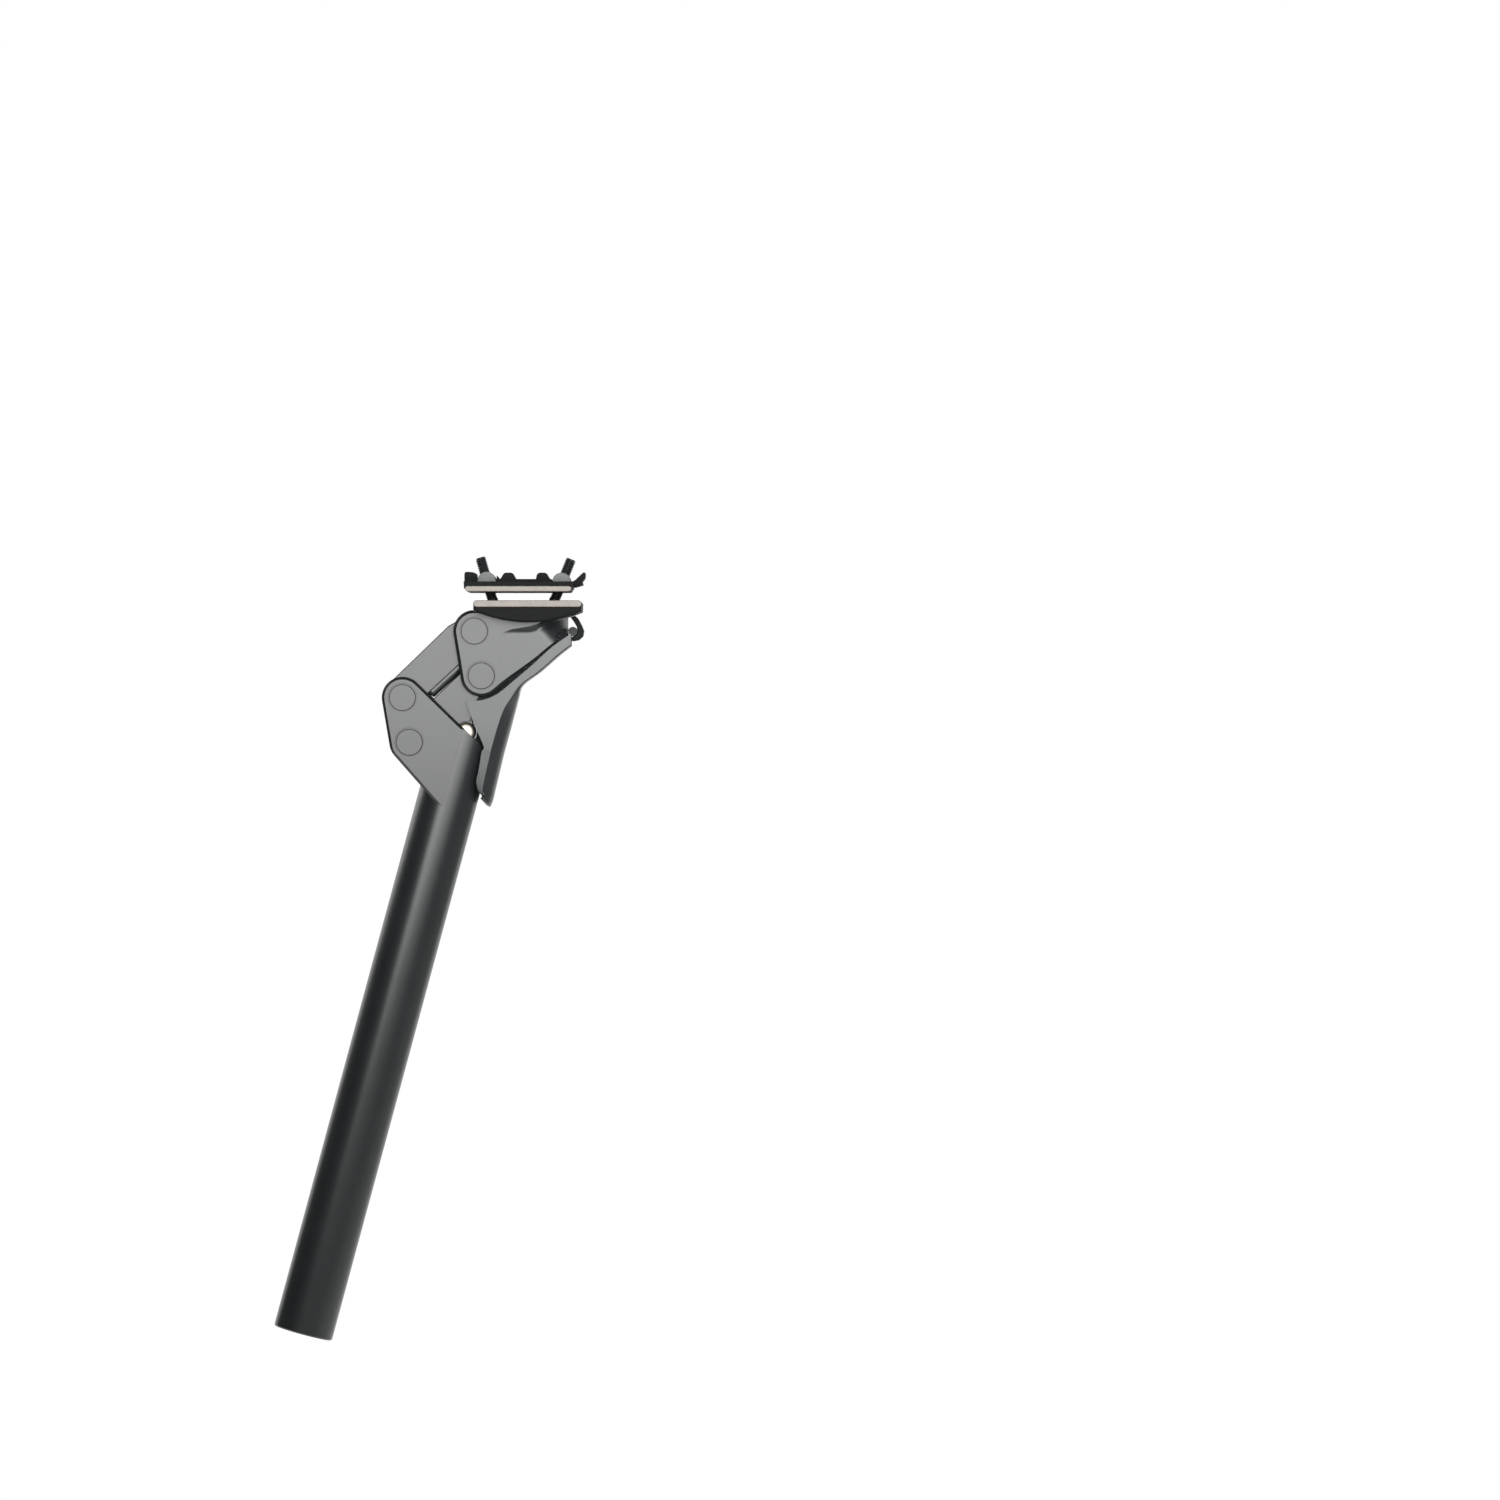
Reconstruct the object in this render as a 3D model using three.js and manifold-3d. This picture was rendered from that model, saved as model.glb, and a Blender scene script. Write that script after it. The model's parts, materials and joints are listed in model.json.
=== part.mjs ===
// Suspension seatpost: a 27.2 mm post with a parallelogram linkage, a spring and plunger inside the
// tube, and a two-bolt rail clamp. Millimetres, +Z up, +X to the rear, rails level, fully extended.
import * as THREE from "three";
import { mergeVertices } from "three/addons/utils/BufferGeometryUtils.js";
import Module from "manifold-3d";

const wasm = await Module();
wasm.setup();

// ---- driving dimensions ----------------------------------------------------------------------
const TUBE_D = 27.2; // standard seat tube fit
const BORE_R = 11.4;
const LEAN = THREE.MathUtils.degToRad(15.15); // the tube leans back from vertical
const LINK = 44.5; // pivot to pivot on both links
const REST = THREE.MathUtils.degToRad(57.9); // link angle above the tube's perpendicular, extended
const A1 = [-31.5, 291.2]; // upper front pivot, in the tube's own frame (x rearward, z along the tube)
const A2 = [-23.15, 272.4]; // lower front pivot
const CHEEK_Y = TUBE_D / 2; // outer faces of both forks
const SLOT_Y = 9.1; // half width between the cheeks
const LINK_Y = 8.8; // half width of the links
const PLATE_Y = 4.9; // inner faces of the upper link's two side plates
const GAP = 0.3; // clearance between neighbouring bodies
const AXLE_R = 4;
const CAP_R = 6;
const CAP_T = 1.3;
const SCREW_R = 2.5;
const BUSH_R = 5.3;
const BUSH_FLANGE = [6.4, 1.1];
const ROLLER = [22.0, -14.0]; // roller centre from A2, in the lower link's frame
const ROLLER_R = 4.4;
const RAIL_Z = 15.2; // rail centre above the upper rear pivot
const RAIL_Y = 22;
const RAIL_R = 3.5;
const CRADLE = [24.8, 66]; // centre of the clamp's tilting arc, from the upper rear pivot
const CRADLE_R = 62;
const CLAMP_Y = 27.5;
const NUT_R = 4.2;
const NUT_Y = 12;
const FRONT_NUT = [5.5, 22.8];
const REAR_NUT = [39.6, 22.4];
const FRONT_SEAT = [14.3, -8];
const REAR_SEAT = [29.1, -3.6];
const BOLT_PAST_NUT = 11.3;
const COVER_T = 1.6;
const ADJUSTER = [3, 16]; // bottom and top along the tube
const PERCH_TOP = 95.7;
const PLUNGER = { seat: 226, flange: 232, top: 275.6, r: 8, recess: 240 };
const MAIN_SPRING = { r: 8.9, wire: 2, turns: 12, steps: 12, sides: 7 };
const INNER_SPRING = { r: 4.9, wire: 1.2, turns: 15, steps: 10, sides: 5 };

// ---- materials -------------------------------------------------------------------------------
const paint = (color, metalness, roughness) =>
  new THREE.MeshStandardMaterial({ color, metalness, roughness });
const ANODISED = paint(0x5c5f61, 0.6, 0.5);
const DARK = paint(0x232527, 0.5, 0.5);
const STEEL = paint(0xb8bcc0, 1, 0.3);
const BLACK_STEEL = paint(0x1d1e20, 0.8, 0.4);
const RUBBER = paint(0x161616, 0, 0.9);
const POLYMER = paint(0x54585a, 0, 0.6);
const BRONZE = paint(0xa5814a, 0.9, 0.4);
const PALE = paint(0xa9a39c, 0.7, 0.5);

// ---- shape helpers ---------------------------------------------------------------------------
// A closed geometry as a solid for the booleans.
function solid(geometry) {
  const bare = geometry.clone();
  bare.deleteAttribute("normal");
  bare.deleteAttribute("uv");
  const merged = mergeVertices(bare, 1e-4);
  const mesh = new wasm.Mesh({
    numProp: 3,
    vertProperties: merged.attributes.position.array,
    triVerts: new Uint32Array(merged.index.array),
  });
  return new wasm.Manifold(mesh);
}

// A side-view outline [x, z] carried across from y0 to y1.
function plate(outline, y0, y1) {
  const shape = new THREE.Shape(outline.map(([x, z]) => new THREE.Vector2(x, z)));
  const geometry = new THREE.ExtrudeGeometry(shape, { depth: y1 - y0, bevelEnabled: false });
  geometry.rotateX(Math.PI / 2);
  geometry.translate(0, y1, 0);
  return solid(geometry);
}

// A cylinder across the post, at [x, z], from y0 to y1.
function rod([x, z], r, y0, y1, sides = 32) {
  const geometry = new THREE.CylinderGeometry(r, r, y1 - y0, sides);
  geometry.translate(x, (y0 + y1) / 2, z);
  return solid(geometry);
}

// A cylinder along z, at [x, 0].
function pin(x, r, z0, z1, sides = 32) {
  const geometry = new THREE.CylinderGeometry(r, r, z1 - z0, sides);
  geometry.rotateX(Math.PI / 2);
  geometry.translate(x, 0, (z0 + z1) / 2);
  return solid(geometry);
}

// A ring or stepped turned part about z, from a closed profile [r, z].
function turned(profile, sides = 32) {
  const points = profile.map(([r, z]) => new THREE.Vector2(r, z));
  const geometry = new THREE.LatheGeometry(points, sides);
  geometry.rotateX(Math.PI / 2);
  const made = solid(geometry);
  return made.volume() < 0 ? turned([...profile].reverse(), sides) : made;
}

function ring(inner, outer, z0, z1, sides = 32) {
  const profile = [[inner, z0], [outer, z0], [outer, z1], [inner, z1], [inner, z0]];
  return turned(profile, sides);
}

// A hexagonal prism along z, its width measured across the flats.
function hex(flats, z0, z1) {
  return pin(0, flats / Math.sqrt(3), z0, z1, 6);
}

// The convex outline round circles [x, z, r] and points [x, z].
function hull(items, steps = 36) {
  const points = [];
  for (const [x, z, r = 0] of items) {
    const count = r ? steps : 1;
    for (let i = 0; i < count; i += 1) {
      const a = (2 * Math.PI * i) / count;
      points.push([x + r * Math.cos(a), z + r * Math.sin(a)]);
    }
  }
  points.sort((p, q) => p[0] - q[0] || p[1] - q[1]);
  const turn = (o, a, b) => (a[0] - o[0]) * (b[1] - o[1]) - (a[1] - o[1]) * (b[0] - o[0]);
  const half = (list) => {
    const chain = [];
    for (const p of list) {
      while (chain.length > 1 && turn(chain.at(-2), chain.at(-1), p) <= 1e-9) chain.pop();
      chain.push(p);
    }
    return chain.slice(0, -1);
  };
  return [...half(points), ...half([...points].reverse())];
}

// Points along an arc about [x, z], angles in degrees from +x towards +z.
function arc([x, z], r, from, to, steps) {
  const points = [];
  for (let i = 0; i <= steps; i += 1) {
    const a = THREE.MathUtils.degToRad(from + ((to - from) * i) / steps);
    points.push([x + r * Math.cos(a), z + r * Math.sin(a)]);
  }
  return points;
}

const about = (piece, [x, z], radians) =>
  piece.rotate([0, THREE.MathUtils.radToDeg(radians), 0]).translate([x, 0, z]);

// A y-axis turned part made by laying a z-axis one over.
const across = (piece, [x, z]) => piece.rotate([90, 0, 0]).translate([x, 0, z]);

function mesh(name, piece, material) {
  const data = piece.getMesh();
  const geometry = new THREE.BufferGeometry();
  geometry.setAttribute("position", new THREE.BufferAttribute(data.vertProperties, 3));
  geometry.setIndex(new THREE.BufferAttribute(data.triVerts, 1));
  const faceted = geometry.toNonIndexed();
  faceted.computeVertexNormals();
  const made = new THREE.Mesh(faceted, material);
  made.name = name;
  return made;
}

function group(name, [x, z], turn, ...children) {
  const made = new THREE.Group();
  made.name = name;
  made.position.set(x, 0, z);
  made.rotation.y = turn;
  made.add(...children);
  return made;
}

// ---- layout ----------------------------------------------------------------------------------
// A point of the tube's frame in the part's frame.
function fromTube([x, z]) {
  return [x * Math.cos(LEAN) + z * Math.sin(LEAN), z * Math.cos(LEAN) - x * Math.sin(LEAN)];
}

const PART_A1 = fromTube(A1);
const PART_A2 = fromTube(A2);
const LINK_TURN = LEAN - REST; // turn of both link frames about +y, extended
const PART_B1 = [
  PART_A1[0] + LINK * Math.cos(LINK_TURN),
  PART_A1[1] - LINK * Math.sin(LINK_TURN),
];
const B2 = [PART_A2[0] - PART_A1[0], PART_A2[1] - PART_A1[1]]; // lower rear pivot from the upper one

const leanTo = (from, to) => Math.atan2(to[0] - from[0], to[1] - from[1]);
const spanTo = (from, to) => Math.hypot(to[0] - from[0], to[1] - from[1]);

// ---- post ------------------------------------------------------------------------------------
function axleHoles(centre) {
  const hole = rod(centre, AXLE_R + GAP, -CHEEK_Y - 1, CHEEK_Y + 1);
  const near = rod(centre, CAP_R + GAP, -CHEEK_Y - 1, -CHEEK_Y + CAP_T + GAP);
  const far = rod(centre, CAP_R + GAP, CHEEK_Y - CAP_T - GAP, CHEEK_Y + 1);
  return hole.add(near).add(far);
}

function postBody() {
  const fork = plate(hull([[...A1, 9.4], [...A2, 9.1], [0, 284.4], [0, 246.1]]), -CHEEK_Y, CHEEK_Y);
  const rim = [[-14, -1], [14, -1], [14, 269.6], [11.3, 275.8], [8.3, 280.2], [5.3, 281.2], [0, 284.4],
    [-14, 284.4]];
  const tube = pin(0, TUBE_D / 2, 0, 290, 56).intersect(plate(rim, -20, 20));
  const slot = plate(
    [[-60, 320], [-60, 280], [-36, 272], [-28, 267.3], [-11, 257.4], [-9.3, 256], [9.3, 256],
      [9.3, 268.3], [30, 268.3], [30, 320]],
    -SLOT_Y, SLOT_Y);
  const bore = pin(0, BORE_R, -1, 256, 48);
  return fork.add(tube).subtract(slot).subtract(bore).subtract(axleHoles(A1)).subtract(axleHoles(A2));
}

// A shouldered axle with a cap on the near side, threaded from the far side.
function axle(centre) {
  const end = SLOT_Y + 0.1;
  const shank = rod(centre, AXLE_R, -CHEEK_Y + CAP_T, end, 24);
  const cap = rod(centre, CAP_R, -CHEEK_Y + 0.1, -CHEEK_Y + CAP_T, 32);
  return shank.add(cap).subtract(rod(centre, SCREW_R + GAP, -2, end + 1, 16));
}

function axleScrew(centre) {
  const inside = CHEEK_Y - CAP_T;
  const cap = rod(centre, CAP_R, inside, CHEEK_Y - 0.1, 32);
  const shoulder = rod(centre, AXLE_R, SLOT_Y + 0.5, inside, 24);
  const stud = rod(centre, SCREW_R, 0, SLOT_Y + 0.6, 16);
  const socket = across(hex(3, -CHEEK_Y - 1, -CHEEK_Y + 2.5), centre);
  return cap.add(shoulder).add(stud).subtract(socket);
}

// A flanged bush on one side of a link; side is -1 or 1.
function bush(side, inner) {
  const [flange, thick] = BUSH_FLANGE;
  const profile = [
    [AXLE_R + GAP, inner], [BUSH_R, inner], [BUSH_R, LINK_Y - thick], [flange, LINK_Y - thick],
    [flange, LINK_Y], [AXLE_R + GAP, LINK_Y], [AXLE_R + GAP, inner],
  ];
  return turned(profile, 24).rotate([side * -90, 0, 0]);
}

const bushSeat = ([x, z], y0) =>
  rod([x, z], BUSH_R + GAP, -y0, y0, 24)
    .add(rod([x, z], BUSH_FLANGE[0] + GAP, LINK_Y - BUSH_FLANGE[1] - GAP, y0, 24))
    .add(rod([x, z], BUSH_FLANGE[0] + GAP, -y0, -LINK_Y + BUSH_FLANGE[1] + GAP, 24));

// ---- links -----------------------------------------------------------------------------------
function upperLink() {
  const side = hull([[0, 0, 9.1], [LINK, 0, 7.9], [37.5, 9.9], [41, 9], [43, 8.4], [8, -6.5], [36, -6.5]]);
  const lowered = plate([[-12, -20], [60, -20], [60, -6.5], [-12, -6.5]], -10, 10)
    .subtract(rod([LINK, 0], 7.9, -10, 10))
    .subtract(rod([0, 0], 7, -10, 10));
  const window = plate([[-12, -12], [23.6, -12], [23.6, 14], [-12, 14]], -PLATE_Y, PLATE_Y);
  const rib = [[10, -5], [10, -7.6], [11.2, -8.7], [33.8, -8.7], [35, -7.6], [35, -5]];
  return plate(side, -LINK_Y, LINK_Y)
    .subtract(lowered)
    .add(plate(rib, -7.4, 7.4))
    .subtract(window)
    .subtract(bushSeat([0, 0], 10))
    .subtract(bushSeat([LINK, 0], 10));
}

function lowerLink() {
  const side = hull([[0, 0, 6.5], [LINK, 0, 7.6], [6, 7], [38, 7.4], [10, -8.2], [34, -8.6]]);
  const belly = hull([[...ROLLER, 3.7], [13, -6], [31, -7]], 24);
  return plate(side, -LINK_Y, LINK_Y)
    .add(plate(belly, -4.6, 4.6))
    .subtract(rod(ROLLER, ROLLER_R + 0.6, 4.6, 10))
    .subtract(rod(ROLLER, ROLLER_R + 0.6, -10, -4.6))
    .subtract(rod(ROLLER, 2.3, -6, 6, 16))
    .subtract(bushSeat([0, 0], 10))
    .subtract(bushSeat([LINK, 0], 10));
}

function roller(side) {
  const piece = rod(ROLLER, ROLLER_R, 4.9, 8.7).subtract(rod(ROLLER, 2.3, 4, 10, 16));
  return side > 0 ? piece : piece.translate([0, -13.6, 0]);
}

// ---- inside the tube -------------------------------------------------------------------------
class Coil extends THREE.Curve {
  constructor(z0, z1, { r, wire, turns }) {
    super();
    Object.assign(this, { z0, z1, r, turns, closed: (2 * wire + 0.25) / (z1 - z0) });
  }
  // Share of the height reached at turn t: the end turns are closed, the others are even.
  height(t) {
    const open = (1 - 2 * this.closed) / (this.turns - 2);
    if (t < 1) return this.closed * t;
    if (t > this.turns - 1) return 1 - this.closed * (this.turns - t);
    return this.closed + open * (t - 1);
  }
  getPoint(u, target = new THREE.Vector3()) {
    const t = u * this.turns;
    const a = 2 * Math.PI * t;
    const z = this.z0 + (this.z1 - this.z0) * this.height(t);
    return target.set(this.r * Math.cos(a), this.r * Math.sin(a), z);
  }
}

function spring(z0, z1, spec) {
  const curve = new Coil(z0 + spec.wire, z1 - spec.wire, spec);
  const shape = new THREE.Shape();
  for (let i = 0; i < spec.sides; i += 1) {
    const a = (2 * Math.PI * i) / spec.sides;
    const step = i ? "lineTo" : "moveTo";
    shape[step](spec.wire * Math.cos(a), spec.wire * Math.sin(a));
  }
  const steps = spec.turns * spec.steps;
  return solid(new THREE.ExtrudeGeometry(shape, { steps, extrudePath: curve, bevelEnabled: false }));
}

function adjuster() {
  const [z0, z1] = ADJUSTER;
  const outline = [[0, z0], [10.6, z0]];
  for (let z = z0 + 0.5; z < z1 - 1; z += 3) outline.push([11.1, z], [11.1, z + 1.5], [10.3, z + 2.2]);
  outline.push([10.3, z1], [0, z1]);
  return turned(outline, 24).subtract(hex(8, z0 - 1, z0 + 8));
}

function perch() {
  const z0 = ADJUSTER[1] + 0.4;
  return ring(8.4, 10.9, z0, PERCH_TOP - 3, 28)
    .add(pin(0, 10.9, PERCH_TOP - 3.5, PERCH_TOP, 28))
    .add(pin(0, 3.2, PERCH_TOP - 1, PERCH_TOP + 5, 16));
}

function plunger() {
  const { seat, flange, top, r, recess } = PLUNGER;
  return pin(0, 10.9, seat, flange, 28)
    .add(pin(0, r, flange - 1, top, 28))
    .subtract(pin(0, 6.6, seat - 1, recess, 24));
}

function bottomOutBumper() {
  const profile = [[9.6, 268.6], [13.9, 268.6], [13.9, 262.7], [15.1, 262.7], [15.1, 271.9],
    [9.6, 270.65]];
  return plate(profile, -6.5, 6.5);
}

function topOutBumper() {
  const dome = [A1[0] + 10.3, A1[1] + 9.2, 9.2];
  const keep = plate([[-12, -6.2], [40, -6.2], [40, 40], [-12, 40]], -6, 6);
  return plate(hull([[...A1, 7.2], dome], 40), -4.5, 4.5)
    .subtract(rod(A1, AXLE_R + GAP, -6, 6, 24))
    .intersect(about(keep, A1, -REST));
}

// ---- head ------------------------------------------------------------------------------------
// The sculpted hollow on one flank, which narrows the head towards its tail.
function flankHollow(side) {
  const ledge = [[8, -4], [10.8, -2.4], [15.5, 0.9], [25.9, 2.9], [32, 5.7], [46, 9.8], [60, -40],
    [8, -40]];
  const cutter = new THREE.CylinderGeometry(24, 24, 110, 48);
  cutter.rotateZ(Math.PI / 2 - side * 0.1);
  cutter.rotateY(-0.36);
  cutter.translate(27, side * (CHEEK_Y + 19.2), 2.4);
  return solid(cutter).intersect(plate(ledge, -60, 60));
}

function boltWay(seat, nut) {
  const counterbore = pin(0, 5.4, -40, 1.75);
  const way = pin(0, 2.9, 0, 40, 20).add(plate([[-4.1, 1], [4.1, 1], [4.1, 40], [-4.1, 40]], -2.9, 2.9));
  return about(counterbore.add(way), seat, leanTo(seat, nut));
}

function headBody() {
  const side = hull([[0, 0, 9.6], [...B2, 9.4], [42.4, 0.2], [42.4, 9.5]]);
  const space = hull([[0, 0, 9.2], [...B2, 8.6], [-40, 20], [-40, -60], [6, -60]]);
  return plate(side, -CHEEK_Y, CHEEK_Y)
    .subtract(rod(CRADLE, CRADLE_R + 0.35, -20, 20, 120))
    .subtract(plate(space, -SLOT_Y, SLOT_Y))
    .subtract(flankHollow(1))
    .subtract(flankHollow(-1))
    .subtract(boltWay(FRONT_SEAT, FRONT_NUT))
    .subtract(boltWay(REAR_SEAT, REAR_NUT))
    .subtract(axleHoles([0, 0]))
    .subtract(axleHoles(B2));
}

// ---- rail clamp ------------------------------------------------------------------------------
const railGrooves = () =>
  [-1, 1].map((s) => {
    const groove = new THREE.CylinderGeometry(RAIL_R + 0.15, RAIL_R + 0.15, 90, 32);
    groove.rotateZ(Math.PI / 2);
    groove.translate(22, s * RAIL_Y, RAIL_Z);
    return solid(groove);
  });

const lip = (x0, x1, z0, z1) => {
  const r = (z1 - z0) / 2;
  return plate(hull([[x0 + r, z0 + r, r], [x1 - r, z0 + r, r]], 16), -CLAMP_Y, CLAMP_Y);
};

function lowerClamp() {
  const keel = plate([...arc(CRADLE, CRADLE_R, 246.2, 292.8, 30), [48.9, 12], [-0.2, 12]], -25.6, 25.6);
  const tray = plate([[6, 9.2], [43, 9.2], [43, 20], [6, 20]], -15, 15);
  const frontWay = plate([[3.2, 0], [18, 0], [15, 20], [2.2, 20]], -3.1, 3.1);
  const rearWay = plate([[24, 0], [39, 0], [43.5, 20], [28.5, 20]], -3.1, 3.1);
  return railGrooves()
    .reduce((piece, groove) => piece.subtract(groove), keel.add(lip(-0.2, 48.9, 10.8, 13.8)))
    .subtract(tray)
    .subtract(frontWay)
    .subtract(rearWay);
}

function upperClamp() {
  const centre = [
    [-4.6, 20], [-4.6, 26.4], [-3.6, 27], [-0.6, 26.8], [1.5, 25.6], [9.6, 25.6], [11.2, 23.9],
    [11.9, 23.9], [13.6, 26.6], [17.2, 26.6], [18.9, 23.7], [27.9, 23.7], [29, 26.6], [32.6, 26.6],
    [34.4, 23.7], [44.6, 22.6], [45.8, 23.3], [49.4, 26.7], [50.5, 26.5], [50.3, 24.2], [49, 22.4],
    [49.4, 21], [46, 20],
  ];
  const band = plate([[-4.4, 19.2], [44.8, 19.2], [45, 22.4], [-4.6, 22.4]], -25.6, 25.6);
  const body = lip(-3.9, 44.2, 17.8, 20.3).add(band).add(plate(centre, -11, 11));
  const saddles = [FRONT_NUT, REAR_NUT].map((at) => rod(at, NUT_R + 0.35, -12.4, 12.4));
  const sky = [FRONT_NUT, REAR_NUT].map(([x, z]) =>
    plate([[x - 4.55, z], [x + 4.55, z], [x + 4.55, z + 9], [x - 4.55, z + 9]], -12.4, 12.4));
  const ways = [
    plate([[2.2, 10], [12, 10], [9.5, 24], [1.5, 24]], -3.1, 3.1),
    plate([[31.5, 10], [41.5, 10], [43.6, 24], [35.5, 24]], -3.1, 3.1),
  ];
  return [...railGrooves(), ...saddles, ...sky, ...ways].reduce((piece, cut) => piece.subtract(cut), body);
}

function barrelNut(at, seat) {
  const thread = about(pin(0, 3.1, -9, 9, 20), at, leanTo(seat, at));
  return rod(at, NUT_R, -NUT_Y, NUT_Y).subtract(thread);
}

function clampBolt(seat, nut) {
  const length = spanTo(seat, nut) + BOLT_PAST_NUT;
  const profile = [[0, -5], [4.2, -5], [4.2, 0], [2.5, 0], [2.5, length - 0.6], [1.9, length], [0, length]];
  return turned(profile, 24).subtract(hex(4, -6, -2.2));
}

// ---- rear cover ------------------------------------------------------------------------------
// Stations down the cover: free edge of the side walls, outer face of the back, half width, corner.
const COVER = [
  [[43.9, -1.2], [43.9, -6.8], 13.3, 2.4],
  [[35.2, -7.3], [38.6, -10.9], 13.4, 2.4],
  [[26.5, -15.2], [30, -18.4], 13.4, 2.6],
  [[17.8, -22.6], [21.9, -24.6], 13.4, 3.2],
  [[10.2, -28.7], [20, -30.2], 13.4, 4.2],
  [[3.2, -31.4], [18.9, -34.6], 13.3, 5],
  [[-3.1, -31.6], [17.9, -38.4], 13.2, 5.4],
  [[-2.9, -34.4], [17, -42], 13.1, 5.6],
  [[-0.2, -42], [15.2, -48.6], 13, 5.7],
  [[4.2, -52.4], [13.2, -56], 12.8, 5.7],
  [[3.3, -55], [12.4, -59.3], 12.7, 5.7],
  [[2, -62.9], [10.9, -65.6], 12.5, 5.7],
  [[0.9, -68.1], [9.4, -71.9], 12.3, 5.5],
  [[1.6, -72.4], [8.2, -77], 12.1, 4.8],
  [[3.1, -74.4], [6.9, -80], 11.9, 4],
];

// One U-shaped section: out along one wall, round the back, in along the other, and back inside.
function coverSection([edge, back, half, corner]) {
  const depth = Math.hypot(back[0] - edge[0], back[1] - edge[1]);
  const along = [(back[0] - edge[0]) / depth, (back[1] - edge[1]) / depth];
  const path = (w, d, r) => {
    const turn = [];
    for (let i = 0; i <= 5; i += 1) {
      const a = (Math.PI / 2) * (i / 5);
      turn.push([d - r + r * Math.sin(a), w - r + r * Math.cos(a)]);
    }
    return [[0, w], ...turn, ...turn.map(([s, y]) => [s, -y]).reverse(), [0, -w]];
  };
  const outer = path(half, depth, corner);
  const inner = path(half - COVER_T, depth - COVER_T, corner - COVER_T / 2);
  return [...outer, ...inner.reverse()].map(([s, y]) => [edge[0] + along[0] * s, y, edge[1] + along[1] * s]);
}

function cover() {
  const sections = COVER.map(coverSection);
  const count = sections[0].length;
  const vertices = sections.flat(2);
  const faces = [];
  for (let k = 0; k + 1 < sections.length; k += 1) {
    for (let i = 0; i < count; i += 1) {
      const a = k * count + i;
      const b = k * count + ((i + 1) % count);
      faces.push(a, b, a + count, b, b + count, a + count);
    }
  }
  for (let i = 0; i + 1 < count / 2; i += 1) {
    const [a, b, c, d] = [i, i + 1, count - 2 - i, count - 1 - i];
    const last = (sections.length - 1) * count;
    faces.push(a, c, b, a, d, c);
    faces.push(last + a, last + b, last + c, last + a, last + c, last + d);
  }
  const build = (order) =>
    new wasm.Manifold(new wasm.Mesh({
      numProp: 3,
      vertProperties: new Float32Array(vertices),
      triVerts: new Uint32Array(order),
    }));
  const made = build(faces);
  return made.volume() > 0 ? made : build([...faces].reverse());
}

function coverClip() {
  const band = [[45.7, 7], [48, 3.8], [49.7, 0.6], [49.6, -1.5], [47.8, -3.4], [44.9, -4.6],
    [44.4, -2.6], [46.3, -1.8], [47.3, -0.2], [46.9, 1.8], [43.6, 6.3]];
  return plate(band, -8, 8);
}

// ---- assembly --------------------------------------------------------------------------------
const post = group("post", [0, 0], LEAN,
  mesh("post_body", postBody(), ANODISED),
  mesh("axle_front_upper", axle(A1), ANODISED),
  mesh("axle_front_lower", axle(A2), ANODISED),
  mesh("axle_screw_front_upper", axleScrew(A1), BLACK_STEEL),
  mesh("axle_screw_front_lower", axleScrew(A2), BLACK_STEEL),
  mesh("preload_adjuster", adjuster(), DARK),
  mesh("spring_perch", perch(), POLYMER),
  mesh("main_spring", spring(PERCH_TOP + GAP, PLUNGER.seat - GAP, MAIN_SPRING), STEEL),
  mesh("inner_spring", spring(PERCH_TOP + GAP, PLUNGER.recess - GAP, INNER_SPRING), STEEL),
  mesh("plunger", plunger(), STEEL),
  mesh("plunger_pad", plate([[-6.5, 275.9], [7, 275.9], [7, 278.9], [-6.5, 278.9]], -8.3, 8.3), STEEL),
  mesh("plunger_guide", ring(PLUNGER.r + GAP, BORE_R - GAP, 232.4, 255.6, 28), BRONZE),
  mesh("top_out_bumper", topOutBumper(), RUBBER),
  mesh("bottom_out_bumper", bottomOutBumper(), RUBBER),
);

const bushPair = (name, [x, z], inner) =>
  [["near", -1], ["far", 1]].map(([label, side]) =>
    mesh(`bush_${name}_${label}`, bush(side, inner).translate([x, 0, z]), BRONZE));

const upper = group("upper_link_frame", PART_A1, LINK_TURN,
  mesh("upper_link", upperLink(), ANODISED),
  ...bushPair("front_upper", [0, 0], PLATE_Y + GAP),
  ...bushPair("rear_upper", [LINK, 0], 1),
);

const lower = group("lower_link_frame", PART_A2, LINK_TURN,
  mesh("lower_link", lowerLink(), ANODISED),
  ...bushPair("front_lower", [0, 0], 1),
  ...bushPair("rear_lower", [LINK, 0], 1),
  mesh("roller_near", roller(-1), STEEL),
  mesh("roller_far", roller(1), STEEL),
  mesh("roller_pin", rod(ROLLER, 2, -8.6, 8.6, 20), STEEL),
);

const boltGroup = (name, seat, nut) =>
  group(`${name}_bolt_frame`, seat, leanTo(seat, nut),
    mesh(`clamp_bolt_${name}`, clampBolt(seat, nut), BLACK_STEEL),
    mesh(`bolt_washer_${name}`, ring(2.8, 4.8, 0.3, 1.3, 24), BLACK_STEEL));

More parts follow.
